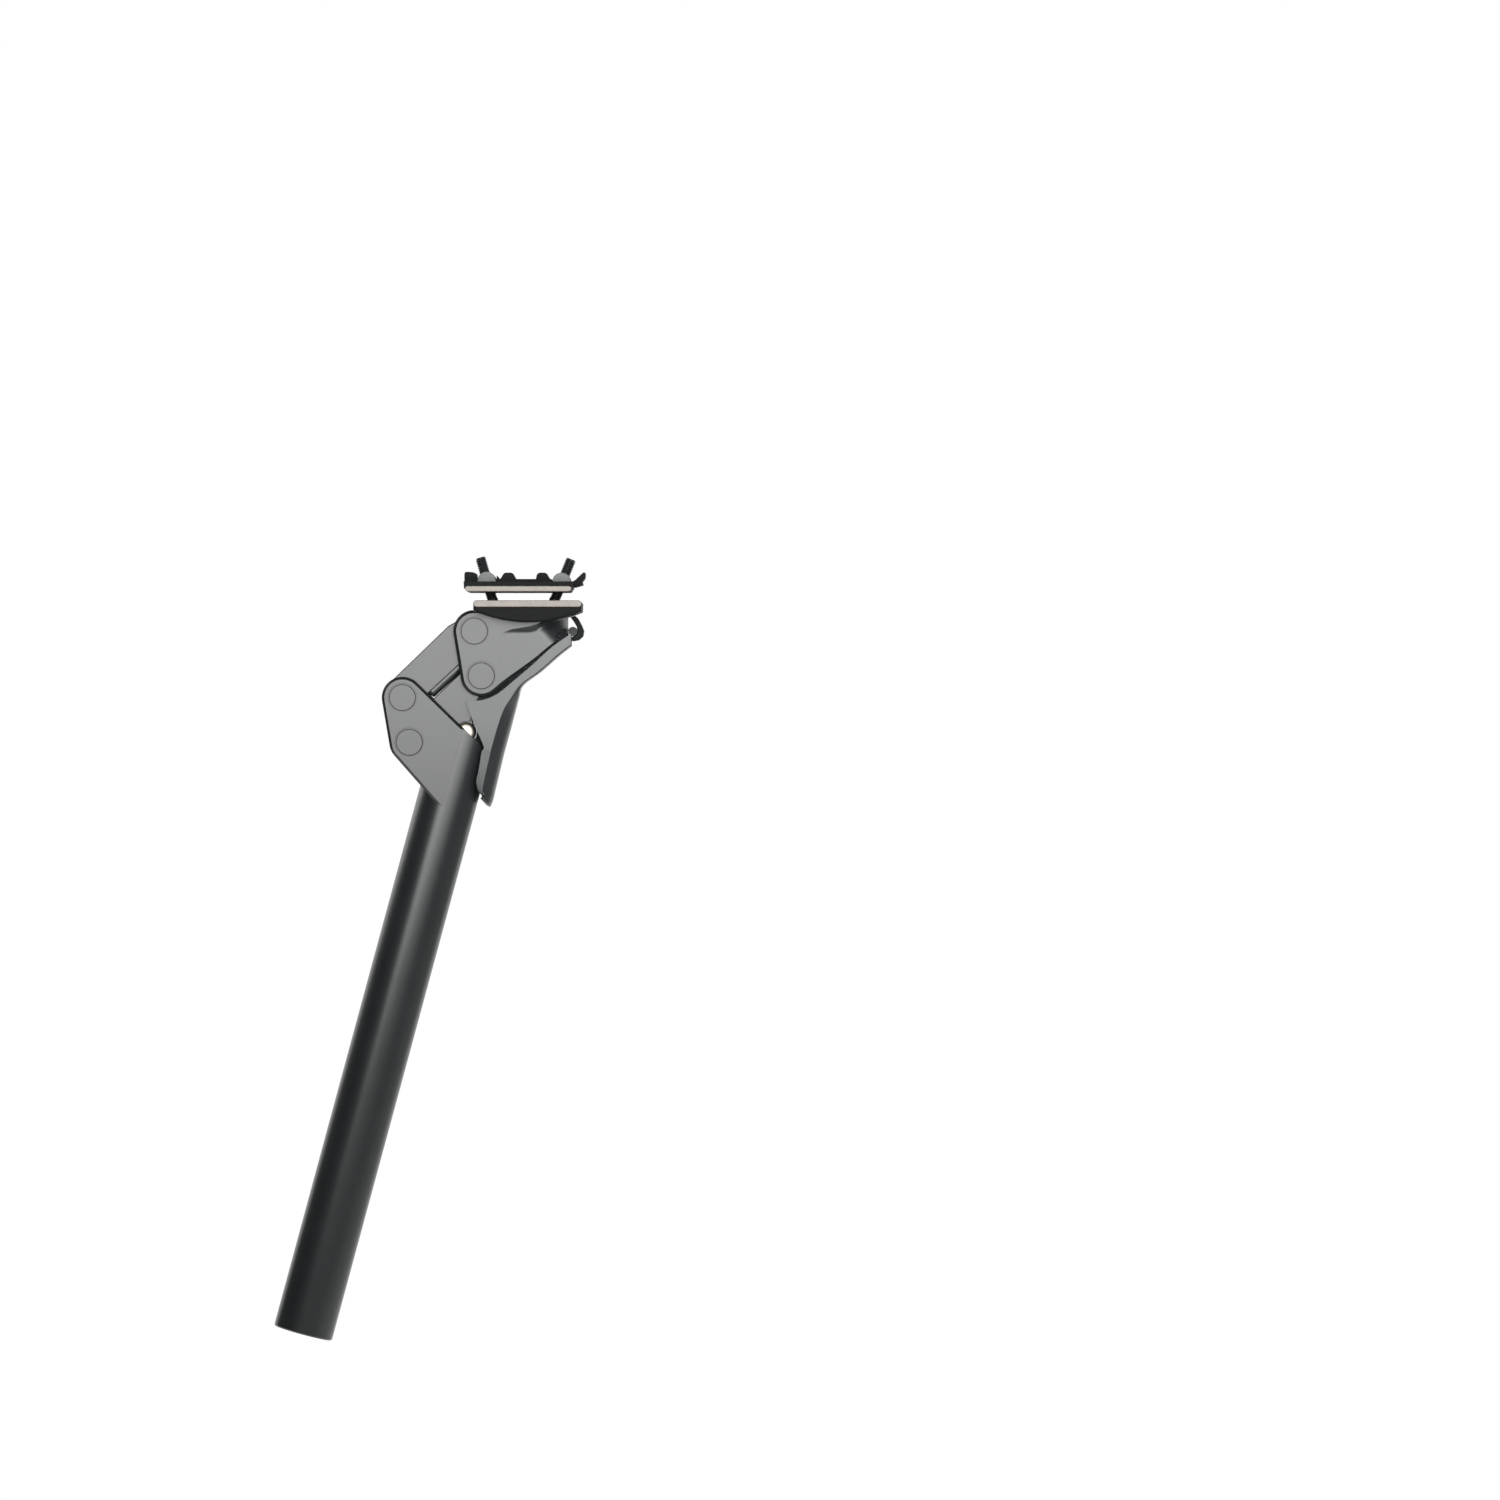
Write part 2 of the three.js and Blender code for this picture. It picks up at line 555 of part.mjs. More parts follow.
const head = group("head", PART_B1, 0,
  mesh("head_body", headBody(), ANODISED),
  mesh("axle_rear_upper", axle([0, 0]), ANODISED),
  mesh("axle_rear_lower", axle(B2), ANODISED),
  mesh("axle_screw_rear_upper", axleScrew([0, 0]), BLACK_STEEL),
  mesh("axle_screw_rear_lower", axleScrew(B2), BLACK_STEEL),
  mesh("cover", cover(), POLYMER),
  mesh("cover_clip", coverClip(), DARK),
  mesh("cover_pin", rod([44.8, 0.4], 1.9, -9, 9, 20), BLACK_STEEL),
  mesh("lower_clamp", lowerClamp(), PALE),
  mesh("upper_clamp", upperClamp(), PALE),
  mesh("barrel_nut_front", barrelNut(FRONT_NUT, FRONT_SEAT), STEEL),
  mesh("barrel_nut_rear", barrelNut(REAR_NUT, REAR_SEAT), STEEL),
  boltGroup("front", FRONT_SEAT, FRONT_NUT),
  boltGroup("rear", REAR_SEAT, REAR_NUT),
);

const seatpost = new THREE.Group();
seatpost.name = "suspension_seatpost";
seatpost.add(post, upper, lower, head);

export default seatpost;
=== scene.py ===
import json
import math

import bpy
from mathutils import Matrix, Vector


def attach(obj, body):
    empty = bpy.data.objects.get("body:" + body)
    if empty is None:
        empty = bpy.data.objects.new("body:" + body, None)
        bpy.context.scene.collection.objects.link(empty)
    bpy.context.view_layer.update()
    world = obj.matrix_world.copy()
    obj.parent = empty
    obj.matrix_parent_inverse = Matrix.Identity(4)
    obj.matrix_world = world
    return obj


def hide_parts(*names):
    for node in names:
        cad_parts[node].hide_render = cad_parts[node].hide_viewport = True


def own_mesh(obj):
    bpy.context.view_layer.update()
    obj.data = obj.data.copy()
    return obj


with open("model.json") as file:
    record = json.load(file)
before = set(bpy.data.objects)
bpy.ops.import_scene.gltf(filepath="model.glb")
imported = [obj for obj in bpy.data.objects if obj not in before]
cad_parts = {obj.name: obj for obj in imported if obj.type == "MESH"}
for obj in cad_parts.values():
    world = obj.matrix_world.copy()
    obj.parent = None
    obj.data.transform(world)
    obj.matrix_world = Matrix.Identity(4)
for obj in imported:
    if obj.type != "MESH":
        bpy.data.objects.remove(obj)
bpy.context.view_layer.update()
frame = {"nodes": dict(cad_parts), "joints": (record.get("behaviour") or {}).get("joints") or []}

bl_info = {
    "name": "Suspension seatpost",
    "version": (1, 0, 0),
    "blender": (4, 5, 0),
    "location": "3D View > Sidebar > Seatpost",
    "description": "Models the outer pieces of a parallelogram suspension seatpost on its frame",
    "category": "Add Mesh",
}

JOINTS = {joint["name"]: joint for joint in frame["joints"]}
MM = Matrix.Scale(0.001, 4)


def pivot(name):
    """The place of a hinge in the part's frame."""
    return Vector(JOINTS[name]["pos_m"])


# The frames that the pieces are drawn in, in millimetres: along the tube, along each link, and level.
FRONT_UPPER, FRONT_LOWER = pivot("suspension_travel"), pivot("lower_link_hinge")
REAR_UPPER = pivot("head_hinge")
TUBE_AXIS = Vector(JOINTS["plunger_slide"]["axis"])
TUBE = Matrix.Rotation(math.atan2(TUBE_AXIS.x, TUBE_AXIS.z), 4, "Y")
ALONG_LINK = REAR_UPPER - FRONT_UPPER
LINK_TURN = Matrix.Rotation(-math.atan2(ALONG_LINK.z, ALONG_LINK.x), 4, "Y")
UPPER_LINK = Matrix.Translation(FRONT_UPPER) @ LINK_TURN
LOWER_LINK = Matrix.Translation(FRONT_LOWER) @ LINK_TURN
HEAD = Matrix.Translation(REAR_UPPER)
LINK = ALONG_LINK.length * 1000

A1 = TUBE.inverted() @ FRONT_UPPER * 1000
A2 = TUBE.inverted() @ FRONT_LOWER * 1000
A1, A2 = (A1.x, A1.z), (A2.x, A2.z)
B1 = (0.0, 0.0)
B2 = tuple((FRONT_LOWER - FRONT_UPPER)[i] * 1000 for i in (0, 2))

# Sizes shared by several pieces, in millimetres.
SLOT_HALF = 9.1
LINK_HALF = 8.8
PLATE_IN = 4.9
AXLE_R = 4.0
CAP_R = 6.0
CAP_T = 1.3
GAP = 0.3
STUD_R = 2.5
BUSH_HOLE = 5.6
BUSH_FACE = (6.7, 7.4)
ROLLER = (22.0, -14.0)
CRADLE = (24.8, 66.0)
CRADLE_R = 62.0
RAIL = (22.0, 15.2, 3.65)
CLAMP_HALF = 27.5
KEEL_HALF = 25.6
NUT_R = 4.2
NUT_HALF = 12
FRONT_NUT, REAR_NUT = (5.5, 22.8), (39.6, 22.4)
FRONT_SEAT, REAR_SEAT = (14.3, -8.0), (29.1, -3.6)
BOLT_PAST_NUT = 11.3
REST_ANGLE = 57.9  # of the links above the tube's perpendicular, in degrees


class SeatpostSizes(bpy.types.PropertyGroup):
    tube_diameter: bpy.props.FloatProperty(
        name="Tube diameter", description="Outside diameter of the post, in millimetres",
        default=27.2, min=20.0, max=35.0)
    fork_edge: bpy.props.FloatProperty(
        name="Fork edge", description="Chamfer round the post's cheeks, in millimetres",
        default=1.2, min=0.1, max=2.0)
    head_edge: bpy.props.FloatProperty(
        name="Head edge", description="Chamfer round the head's cheeks, in millimetres",
        default=1.4, min=0.1, max=2.5)
    link_edge: bpy.props.FloatProperty(
        name="Link edge", description="Rounding of the links, in millimetres",
        default=0.6, min=0.1, max=2.0)
    thread_pitch: bpy.props.FloatProperty(
        name="Thread pitch", description="Pitch of the clamp bolts' thread, in millimetres",
        default=0.8, min=0.4, max=2.0)
    cover_wall: bpy.props.FloatProperty(
        name="Cover wall", description="Thickness of the rear cover, in millimetres",
        default=1.6, min=0.8, max=3.0)


class SeatpostColours(bpy.types.PropertyGroup):
    anodised: bpy.props.StringProperty(
        name="Anodised", description="Dye of the anodised aluminium, sRGB hex", default="#1d1f20")
    lip: bpy.props.StringProperty(
        name="Clamp lip", description="Machined lips of the rail clamp, sRGB hex", default="#8d857c")
    polymer: bpy.props.StringProperty(
        name="Cover", description="Moulded rear cover, sRGB hex", default="#242728")
    rubber: bpy.props.StringProperty(
        name="Rubber", description="Bumpers, sRGB hex", default="#17181a")
    steel: bpy.props.StringProperty(
        name="Polished steel", description="Rollers and plunger, sRGB hex", default="#d8d4c8")
    floor: bpy.props.StringProperty(
        name="Floor", description="Pale paper under the post, sRGB hex", default="#f6f6f6")


# ---- modelling by hand -----------------------------------------------------------------------
def solo(piece):
    """Select one object alone, out of edit mode, and make it active."""
    bpy.ops.object.select_all(action="DESELECT")
    piece.select_set(True)
    bpy.context.view_layer.objects.active = piece
    return piece


def nothing_selected():
    bpy.ops.object.select_all(action="DESELECT")


def edit(piece, *steps):
    """Run edit-mode steps on the whole of a piece, each a function with its settings."""
    solo(piece)
    bpy.ops.object.mode_set(mode="EDIT")
    for operator, settings in steps:
        bpy.ops.mesh.select_all(action="SELECT")
        operator(**settings)
    bpy.ops.object.mode_set(mode="OBJECT")
    return piece


def clean(piece):
    return edit(
        piece,
        (bpy.ops.mesh.remove_doubles, {"threshold": 1e-4}),
        (bpy.ops.mesh.dissolve_degenerate, {"threshold": 1e-4}),
        (bpy.ops.mesh.delete_loose, {}),
        (bpy.ops.mesh.normals_make_consistent, {"inside": False}),
    )


def apply(piece, modifier):
    solo(piece)
    bpy.ops.object.modifier_apply(modifier=modifier.name)
    return piece


def round_edges(piece, wanted, width, segments=3):
    """Bevel the edges whose two ends pass a test."""
    mesh = piece.data
    mesh.polygons.foreach_set("select", [False] * len(mesh.polygons))
    mesh.vertices.foreach_set("select", [False] * len(mesh.vertices))
    ends = [[mesh.vertices[i].co for i in edge.vertices] for edge in mesh.edges]
    mesh.edges.foreach_set("select", [bool(wanted(a, b)) for a, b in ends])
    solo(piece)
    bpy.context.tool_settings.mesh_select_mode = (False, True, False)
    bpy.ops.object.mode_set(mode="EDIT")
    bpy.ops.mesh.bevel(offset=width, segments=segments, affect="EDGES")
    bpy.ops.object.mode_set(mode="OBJECT")
    bpy.context.tool_settings.mesh_select_mode = (True, False, False)
    return piece


def combine(piece, other, operation="DIFFERENCE"):
    """Cut another solid from this one, or join it, and use the other one up."""
    modifier = piece.modifiers.new("combine", "BOOLEAN")
    modifier.operation = operation
    modifier.solver = "EXACT"
    modifier.object = other
    apply(piece, modifier)
    bpy.data.objects.remove(other, do_unlink=True)
    return piece


def cut(piece, *tools):
    for tool in tools:
        combine(piece, tool)
    return piece


def join(piece, *others):
    for other in others:
        combine(piece, other, "UNION")
    return piece


def wrap(items, steps=60):
    """The convex outline round circles (x, z, r) and points (x, z)."""
    points = []
    for x, z, *radius in items:
        r = radius[0] if radius else 0.0
        for i in range(steps if r else 1):
            a = 2 * math.pi * i / steps
            points.append((x + r * math.cos(a), z + r * math.sin(a)))
    points.sort()

    def turn(o, a, b):
        return (a[0] - o[0]) * (b[1] - o[1]) - (a[1] - o[1]) * (b[0] - o[0])

    def half(run):
        chain = []
        for p in run:
            while len(chain) > 1 and turn(chain[-2], chain[-1], p) <= 1e-7:
                chain.pop()
            chain.append(p)
        return chain[:-1]

    return half(points) + half(points[::-1])


def arc(centre, r, start, end, steps):
    """Points along an arc, in degrees from +x towards +z."""
    turns = [math.radians(start + (end - start) * i / steps) for i in range(steps + 1)]
    return [(centre[0] + r * math.cos(a), centre[1] + r * math.sin(a)) for a in turns]


def prism(name, outline, y0, y1, edge=0.0, segments=3):
    """A side-view outline carried across from y0 to y1, its two rims rounded."""
    nothing_selected()
    bpy.ops.mesh.primitive_circle_add(vertices=len(outline), fill_type="NGON")
    piece = bpy.context.object
    piece.name = name
    for vertex, (x, z) in zip(piece.data.vertices, outline):
        vertex.co = (x, y0, z)
    edit(
        piece,
        (bpy.ops.mesh.extrude_region_move, {"TRANSFORM_OT_translate": {"value": (0, y1 - y0, 0)}}),
        (bpy.ops.mesh.normals_make_consistent, {"inside": False}),
    )
    if edge:
        round_edges(piece, lambda a, b: abs(a.y - b.y) < 1e-4, edge, segments)
    return piece


def drum(name, centre, r, y0, y1, edge=0.0, sides=64, inner=None):
    """A round piece across the post, its rims rounded."""
    nothing_selected()
    bpy.ops.mesh.primitive_cylinder_add(
        vertices=sides, radius=r, depth=y1 - y0,
        location=(centre[0], (y0 + y1) / 2, centre[1]), rotation=(math.pi / 2, 0, 0))
    piece = bpy.context.object
    piece.name = name
    bpy.ops.object.transform_apply(location=True, rotation=True, scale=True)
    if edge:
        round_edges(piece, lambda a, b: abs(a.y - b.y) < 1e-4, edge)
    if inner:
        cut(piece, drum("hole", centre, inner, y0 - 1, y1 + 1, sides=32))
    return piece


def turned(name, profile, sides=64):
    """A part turned about z, from a profile of (radius, height) that closes or starts and ends on z."""
    nothing_selected()
    bpy.ops.mesh.primitive_circle_add(vertices=len(profile), fill_type="NOTHING")
    piece = bpy.context.object
    piece.name = name
    for vertex, (r, z) in zip(piece.data.vertices, profile):
        vertex.co = (r, 0, z)
    screw = piece.modifiers.new("turn", "SCREW")
    screw.axis = "Z"
    screw.angle = 2 * math.pi
    screw.steps = screw.render_steps = sides
    screw.use_merge_vertices = True
    screw.merge_threshold = 1e-4
    return clean(apply(piece, screw))


def move(piece, place):
    """Carry a piece by a matrix and settle it at the origin again."""
    piece.matrix_world = place
    solo(piece)
    bpy.ops.object.transform_apply(location=True, rotation=True, scale=True)
    return piece


def across(piece, centre, side=1):
    """Lay a turned part over, so that its +z points to +y or -y, at (x, z)."""
    place = Matrix.Translation((centre[0], 0, centre[1])) @ Matrix.Rotation(-side * math.pi / 2, 4, "X")
    return move(piece, place)


def leaning(seat, nut):
    """The frame of a clamp bolt: its head's seat at the origin and its shank along z."""
    lean = math.atan2(nut[0] - seat[0], nut[1] - seat[1])
    return Matrix.Translation((seat[0], 0, seat[1])) @ Matrix.Rotation(lean, 4, "Y")


def hexagon(name, flats, z0, z1):
    nothing_selected()
    bpy.ops.mesh.primitive_cylinder_add(
        vertices=6, radius=flats / math.sqrt(3), depth=z1 - z0, location=(0, 0, (z0 + z1) / 2))
    piece = bpy.context.object
    piece.name = name
    bpy.ops.object.transform_apply(location=True, rotation=True, scale=True)
    return piece


def finish(piece, place, material, body, *nodes, angle=32.0, slot=None):
    """Settle a piece in the part's frame, smooth it, paint it, and let it ride and replace."""
    move(piece, place @ MM)
    solo(piece)
    bpy.ops.object.shade_smooth_by_angle(angle=math.radians(angle))
    even = piece.modifiers.new("even shading", "WEIGHTED_NORMAL")
    even.keep_sharp = True
    apply(piece, even)
    piece.data.materials.clear()
    piece.data.materials.append(material)
    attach(piece, body)
    if nodes:
        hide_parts(*nodes)
    return piece


def paint_faces(piece, material, wanted):
    """Give the faces whose centre and normal pass a test a second finish."""
    piece.data.materials.append(material)
    index = len(piece.data.materials) - 1
    for face in piece.data.polygons:
        if wanted(face.center, face.normal):
            face.material_index = index


# ---- finishes --------------------------------------------------------------------------------
def linear(hex_colour):
    """An sRGB hex colour as linear red, green, blue and alpha."""
    channels = [int(hex_colour[i:i + 2], 16) / 255 for i in (1, 3, 5)]
    return [c / 12.92 if c <= 0.04045 else ((c + 0.055) / 1.055) ** 2.4 for c in channels] + [1.0]


def node(tree, kind, settings=None, **links):
    """Add a node, set its properties and sockets, and link sockets given as (node, output)."""
    made = tree.nodes.new(kind)
    for key, value in (settings or {}).items():
        if hasattr(made, key):
            setattr(made, key, value)
        else:
            made.inputs[key].default_value = value
    for key, (source, output) in links.items():
        tree.links.new(source.outputs[output], made.inputs[key.replace("_", " ")])
    return made


def surface(name, sockets):
    """A material with one Principled shader, its constants set on the shader's own sockets."""
    material = bpy.data.materials.new(name)
    material.use_nodes = True
    tree = material.node_tree
    shader = tree.nodes["Principled BSDF"]
    for key, value in sockets.items():
        shader.inputs[key].default_value = value
    return material, tree, shader


def grain(tree, shader, size_mm, depth_mm, roughness=None, detail=3.0, distortion=0.0):
    """Fine relief of a real size, and a roughness that varies with it."""
    place = node(tree, "ShaderNodeTexCoord")
    noise = node(tree, "ShaderNodeTexNoise",
                 {"Scale": 1000.0 / size_mm, "Detail": detail, "Distortion": distortion},
                 Vector=(place, "Object"))
    bump = node(tree, "ShaderNodeBump", {"Strength": 1.0, "Distance": depth_mm / 1000},
                Height=(noise, "Fac"))
    tree.links.new(bump.outputs["Normal"], shader.inputs["Normal"])
    if roughness:
        spread = node(tree, "ShaderNodeMapRange", {"To Min": roughness[0], "To Max": roughness[1]},
                      Value=(noise, "Fac"))
        tree.links.new(spread.outputs["Result"], shader.inputs["Roughness"])
    return place, noise


def mottle(tree, shader, place, dark, light, size_mm, detail=4.0):
    """Slow colour variation between two shades."""
    noise = node(tree, "ShaderNodeTexNoise", {"Scale": 1000.0 / size_mm, "Detail": detail},
                 Vector=(place, "Object"))
    ramp = node(tree, "ShaderNodeMix", {"data_type": "RGBA"})
    ramp.inputs[6].default_value = linear(dark)
    ramp.inputs[7].default_value = linear(light)
    tree.links.new(noise.outputs["Fac"], ramp.inputs[0])
    tree.links.new(ramp.outputs[2], shader.inputs["Base Color"])


def anodised_aluminium(colours):
    # Bead-blasted, dyed black and sealed: the clear oxide film shines softly over a black dye.
    material, tree, shader = surface(
        "Anodised aluminium, satin black", {"Metallic": 0.0, "IOR": 1.65, "Roughness": 0.31})
    place, _ = grain(tree, shader, 0.35, 0.0022, (0.28, 0.34))  # blasting marks of about 0.35 mm
    mottle(tree, shader, place, colours.anodised, "#232627", 14.0)
    return material


def matt_black_paint(colours):
    # The cast clamp halves in matt stove enamel: pigment kills most of the shine, and the
    # casting's skin shows through as a slight orange peel of about 0.6 mm.
    material, tree, shader = surface(
        "Matt black enamel on cast aluminium",
        {"Metallic": 0.0, "IOR": 1.45, "Roughness": 0.55, "Specular IOR Level": 0.1})
    place, _ = grain(tree, shader, 0.6, 0.006, (0.48, 0.62))
    mottle(tree, shader, place, "#101112", "#191a1b", 8.0)
    return material


def machined_aluminium(colours):
    # The clamp's outer lips, milled and then clear anodised: a pale grey oxide film over
    # fine lengthwise tool marks.
    material, tree, shader = surface(
        "Anodised aluminium, clear over milled", {"Metallic": 0.0, "IOR": 1.65, "Roughness": 0.4})
    place = node(tree, "ShaderNodeTexCoord")
    stretch = node(tree, "ShaderNodeMapping", {"Scale": (0.08, 1.0, 1.0)}, Vector=(place, "Object"))
    marks = node(tree, "ShaderNodeTexNoise", {"Scale": 1000 / 0.25, "Detail": 3.0},
                 Vector=(stretch, "Vector"))
    bump = node(tree, "ShaderNodeBump", {"Strength": 1.0, "Distance": 0.000006}, Height=(marks, "Fac"))
    tree.links.new(bump.outputs["Normal"], shader.inputs["Normal"])
    mottle(tree, shader, place, "#6a625b", colours.lip, 3.0)
    return material


def phosphated_steel(colours):
    # Phosphated barrel nuts, sawn and deburred: a dull grey crystalline coat, matt and mottled.
    material, tree, shader = surface(
        "Phosphated steel", {"Metallic": 0.0, "IOR": 1.6, "Roughness": 0.6})
    place, _ = grain(tree, shader, 0.45, 0.012, (0.52, 0.68))
    mottle(tree, shader, place, "#474b4a", "#848a87", 0.9)
    return material


def black_oxide_steel(colours):
    # Fasteners in black oxide, lightly oiled: the oxide film hides the metal, so it is shaded as
    # a near black film with a soft sheen on the thread flanks.
    material, tree, shader = surface(
        "Black oxide steel",
        {"Metallic": 0.0, "Roughness": 0.34, "Specular IOR Level": 0.2,
         "Base Color": linear("#292a2c")})
    grain(tree, shader, 0.3, 0.003, (0.28, 0.42))
    return material


def polished_steel(colours):
    # Hardened and ground rollers, pin and plunger: bright, with hairline grinding marks.
    material, tree, shader = surface("Ground bearing steel", {"Metallic": 1.0, "Roughness": 0.4})
    place, _ = grain(tree, shader, 0.2, 0.0008, (0.36, 0.46))
    mottle(tree, shader, place, "#a79f8c", colours.steel, 2.5)
    return material


def spring_steel(colours):
    # Shot-peened spring wire, lightly oiled: fine dimples and a warm grey.
    material, tree, shader = surface("Shot-peened spring wire", {"Metallic": 1.0, "Roughness": 0.38})
    place, _ = grain(tree, shader, 0.4, 0.01, (0.32, 0.46))
    mottle(tree, shader, place, "#7d7c79", "#9a9995", 5.0)
    return material


def sintered_bronze(colours):
    # Oil-filled bushes pressed from powder: a brown metal with open pores.
    material, tree, shader = surface("Sintered bronze", {"Metallic": 1.0, "Roughness": 0.45})
    place, _ = grain(tree, shader, 0.25, 0.01, (0.4, 0.55))
    mottle(tree, shader, place, "#7a5c34", "#a67f49", 1.5)
    return material


def bumper_rubber(colours):
    # Moulded elastomer with pale flecks of mould release and dust.
    material, tree, shader = surface(
        "Moulded rubber", {"Roughness": 0.75, "Specular IOR Level": 0.12})
    place, _ = grain(tree, shader, 0.6, 0.05, (0.6, 0.85))
    flecks = node(tree, "ShaderNodeTexVoronoi", {"Scale": 1000 / 0.9}, Vector=(place, "Object"))
    edge = node(tree, "ShaderNodeMapRange",
                {"From Min": 0.12, "From Max": 0.28, "To Min": 1.0, "To Max": 0.0},
                Value=(flecks, "Distance"))
    mix = node(tree, "ShaderNodeMix", {"data_type": "RGBA"})
    mix.inputs[6].default_value = linear(colours.rubber)
    mix.inputs[7].default_value = linear("#5c605f")
    tree.links.new(edge.outputs["Result"], mix.inputs[0])
    tree.links.new(mix.outputs[2], shader.inputs["Base Color"])
    return material


def moulded_cover(colours):
    # Glass-filled nylon with a fine spark-eroded texture of about 0.3 mm.
    material, tree, shader = surface("Glass-filled nylon", {"IOR": 1.66, "Roughness": 0.33})
    place, _ = grain(tree, shader, 0.3, 0.004, (0.29, 0.37))
    mottle(tree, shader, place, colours.polymer, "#2c2f30", 10.0)
    return material


def moulded_black(colours):
    # Unfilled black nylon for the clip, the spring spacer and other hidden mouldings.
    material, tree, shader = surface(
        "Black nylon", {"IOR": 1.53, "Roughness": 0.48, "Specular IOR Level": 0.08})
    place, _ = grain(tree, shader, 0.4, 0.006, (0.42, 0.56))
    mottle(tree, shader, place, "#131415", "#1d1f20", 6.0)
    return material


MAKERS = {
    "anodised": anodised_aluminium,
    "keel": matt_black_paint,
    "lip": machined_aluminium,
    "phosphate": phosphated_steel,
    "oxide": black_oxide_steel,
    "polished": polished_steel,
    "spring": spring_steel,
    "bronze": sintered_bronze,
    "rubber": bumper_rubber,
    "cover": moulded_cover,
    "nylon": moulded_black,
}
FINISHES = {}


def paint(name):
    """The finish of that name, made the first time it is asked for."""
    if name not in FINISHES:
        FINISHES[name] = MAKERS[name](bpy.context.scene.seatpost_colours)
    return FINISHES[name]


# ---- pieces ----------------------------------------------------------------------------------
def axle_seats(centre):
    """Cutters for an axle hole and its two sunk caps."""
    half = bpy.context.scene.seatpost_sizes.tube_diameter / 2
    depth = half - CAP_T - GAP
    return (
        drum("hole", centre, AXLE_R + GAP, -half - 1, half + 1),
        drum("seat", centre, CAP_R + 0.7, -half - 1, -depth),
        drum("seat", centre, CAP_R + 0.7, depth, half + 1),
    )


def bush_seats(centre):
    radius, depth = BUSH_FACE
    return (
        drum("hole", centre, BUSH_HOLE, -12, 12),
        drum("seat", centre, radius, depth, 12),
        drum("seat", centre, radius, -12, -depth),
    )


class SEATPOST_OT_post(bpy.types.Operator):
    """Model the tube and the two cheeks of its fork"""
    bl_idname = "seatpost.post"
    bl_label = "Post"

    def execute(self, context):
        sizes = context.scene.seatpost_sizes
        r = sizes.tube_diameter / 2
        tube = turned("tube", [(0, 0), (r - 0.6, 0), (r, 0.6), (r, 290), (0, 290)], 128)
        bore = turned(
            "bore", [(0, -5), (12.2, -5), (12.2, 0), (11.4, 1.2), (11.4, 256.3), (0, 256.3)], 128)
        above = [(-20, 284.4), (0, 284.4), (5.3, 281.2), (7.4, 280.7), (8.6, 279.7), (11.3, 275.8),
                 (13.7, 269.6), (20, 269.6), (20, 300), (-20, 300)]
        cut(tube, prism("above", above, -20, 20))
        cheeks = wrap([(*A1, 9.4), (*A2, 9.1), (0, 284.4), (0, 246.1)])
        post = prism("post_shell", cheeks, -r, r, sizes.fork_edge, 1)
        join(post, tube)
        slot = [(-60, 320), (-60, 280), (-36, 272), (-28, 267.3), (-11, 257.4), (-9.3, 256), (9.3, 256),
                (9.3, 268.3), (30, 268.3), (30, 320)]
        cut(post, prism("slot", slot, -SLOT_HALF, SLOT_HALF), bore, *axle_seats(A1), *axle_seats(A2))
        finish(post, TUBE, paint("anodised"), "post", "post_body", slot="satin_anodised_aluminium")
        return {"FINISHED"}


class SEATPOST_OT_links(bpy.types.Operator):
    """Model the two parallel links"""
    bl_idname = "seatpost.links"
    bl_label = "Links"

    def execute(self, context):
        edge = context.scene.seatpost_sizes.link_edge
        rear = (LINK, 0.0)
        outline = (
            arc((0, 0), 9.1, 92, 205, 22) + arc((0, 0), 7.0, 212, 285, 12) + [(8, -6.5), (36, -6.5)]
            + arc(rear, 7.9, -125, 72, 36) + [(43, 8.4), (41, 9.0), (37.5, 9.9)])
        upper = prism("upper_link_shell", outline, -LINK_HALF, LINK_HALF, edge, 4)
        rib = [(9, -4), (10.5, -9.3), (34.5, -9.3), (36, -4)]
        join(upper, prism("rib", rib, -8.4, 8.4, 1.9, 6))
        window = [(-12, -12), (23.6, -12), (23.6, 14), (-12, 14)]
        cut(upper, prism("window", window, -PLATE_IN, PLATE_IN), *bush_seats((0, 0)), *bush_seats(rear))
        finish(upper, UPPER_LINK, paint("anodised"), "upper_link", "upper_link",
               slot="satin_anodised_aluminium")
        side = wrap([(0, 0, 6.5), (*rear, 7.6), (6, 7), (38, 7.4), (10, -8.2), (34, -8.6)])
        lower = prism("lower_link_shell", side, -LINK_HALF, LINK_HALF, edge, 4)
        join(lower,
             prism("belly", wrap([(*ROLLER, 3.7), (13, -6), (31, -7)]), -4.6, 4.6, 0.4),
             prism("ear", wrap([(13, -6.6), (33.4, -7.0), *arc(ROLLER, 6.2, 165, 30, 14)]),
                   -LINK_HALF, LINK_HALF))
        cut(lower,
            drum("relief", ROLLER, 5.0, 4.6, 10), drum("relief", ROLLER, 5.0, -10, -4.6),
            drum("hole", ROLLER, 2.3, -6, 6, sides=32), *bush_seats((0, 0)), *bush_seats(rear))
        finish(lower, LOWER_LINK, paint("anodised"), "lower_link", "lower_link",
               slot="satin_anodised_aluminium")
        return {"FINISHED"}


# The ledge over the hollow on each flank, and how the hollow grows along it: depth and fade.
LEDGE = ((7.0, -4.6), (10.6, -1.9), (13.5, 0.0), (16.9, 0.9), (21.1, 1.6), (25.4, 2.3), (28.8, 3.5),
         (32.2, 5.1), (34.7, 6.3), (39.0, 8.6), (46.0, 12.6))
HOLLOW_START, HOLLOW_END = 10.2, 42.4


def ease(t):
    t = min(1.0, max(0.0, t))
    return t * t * (3 - 2 * t)


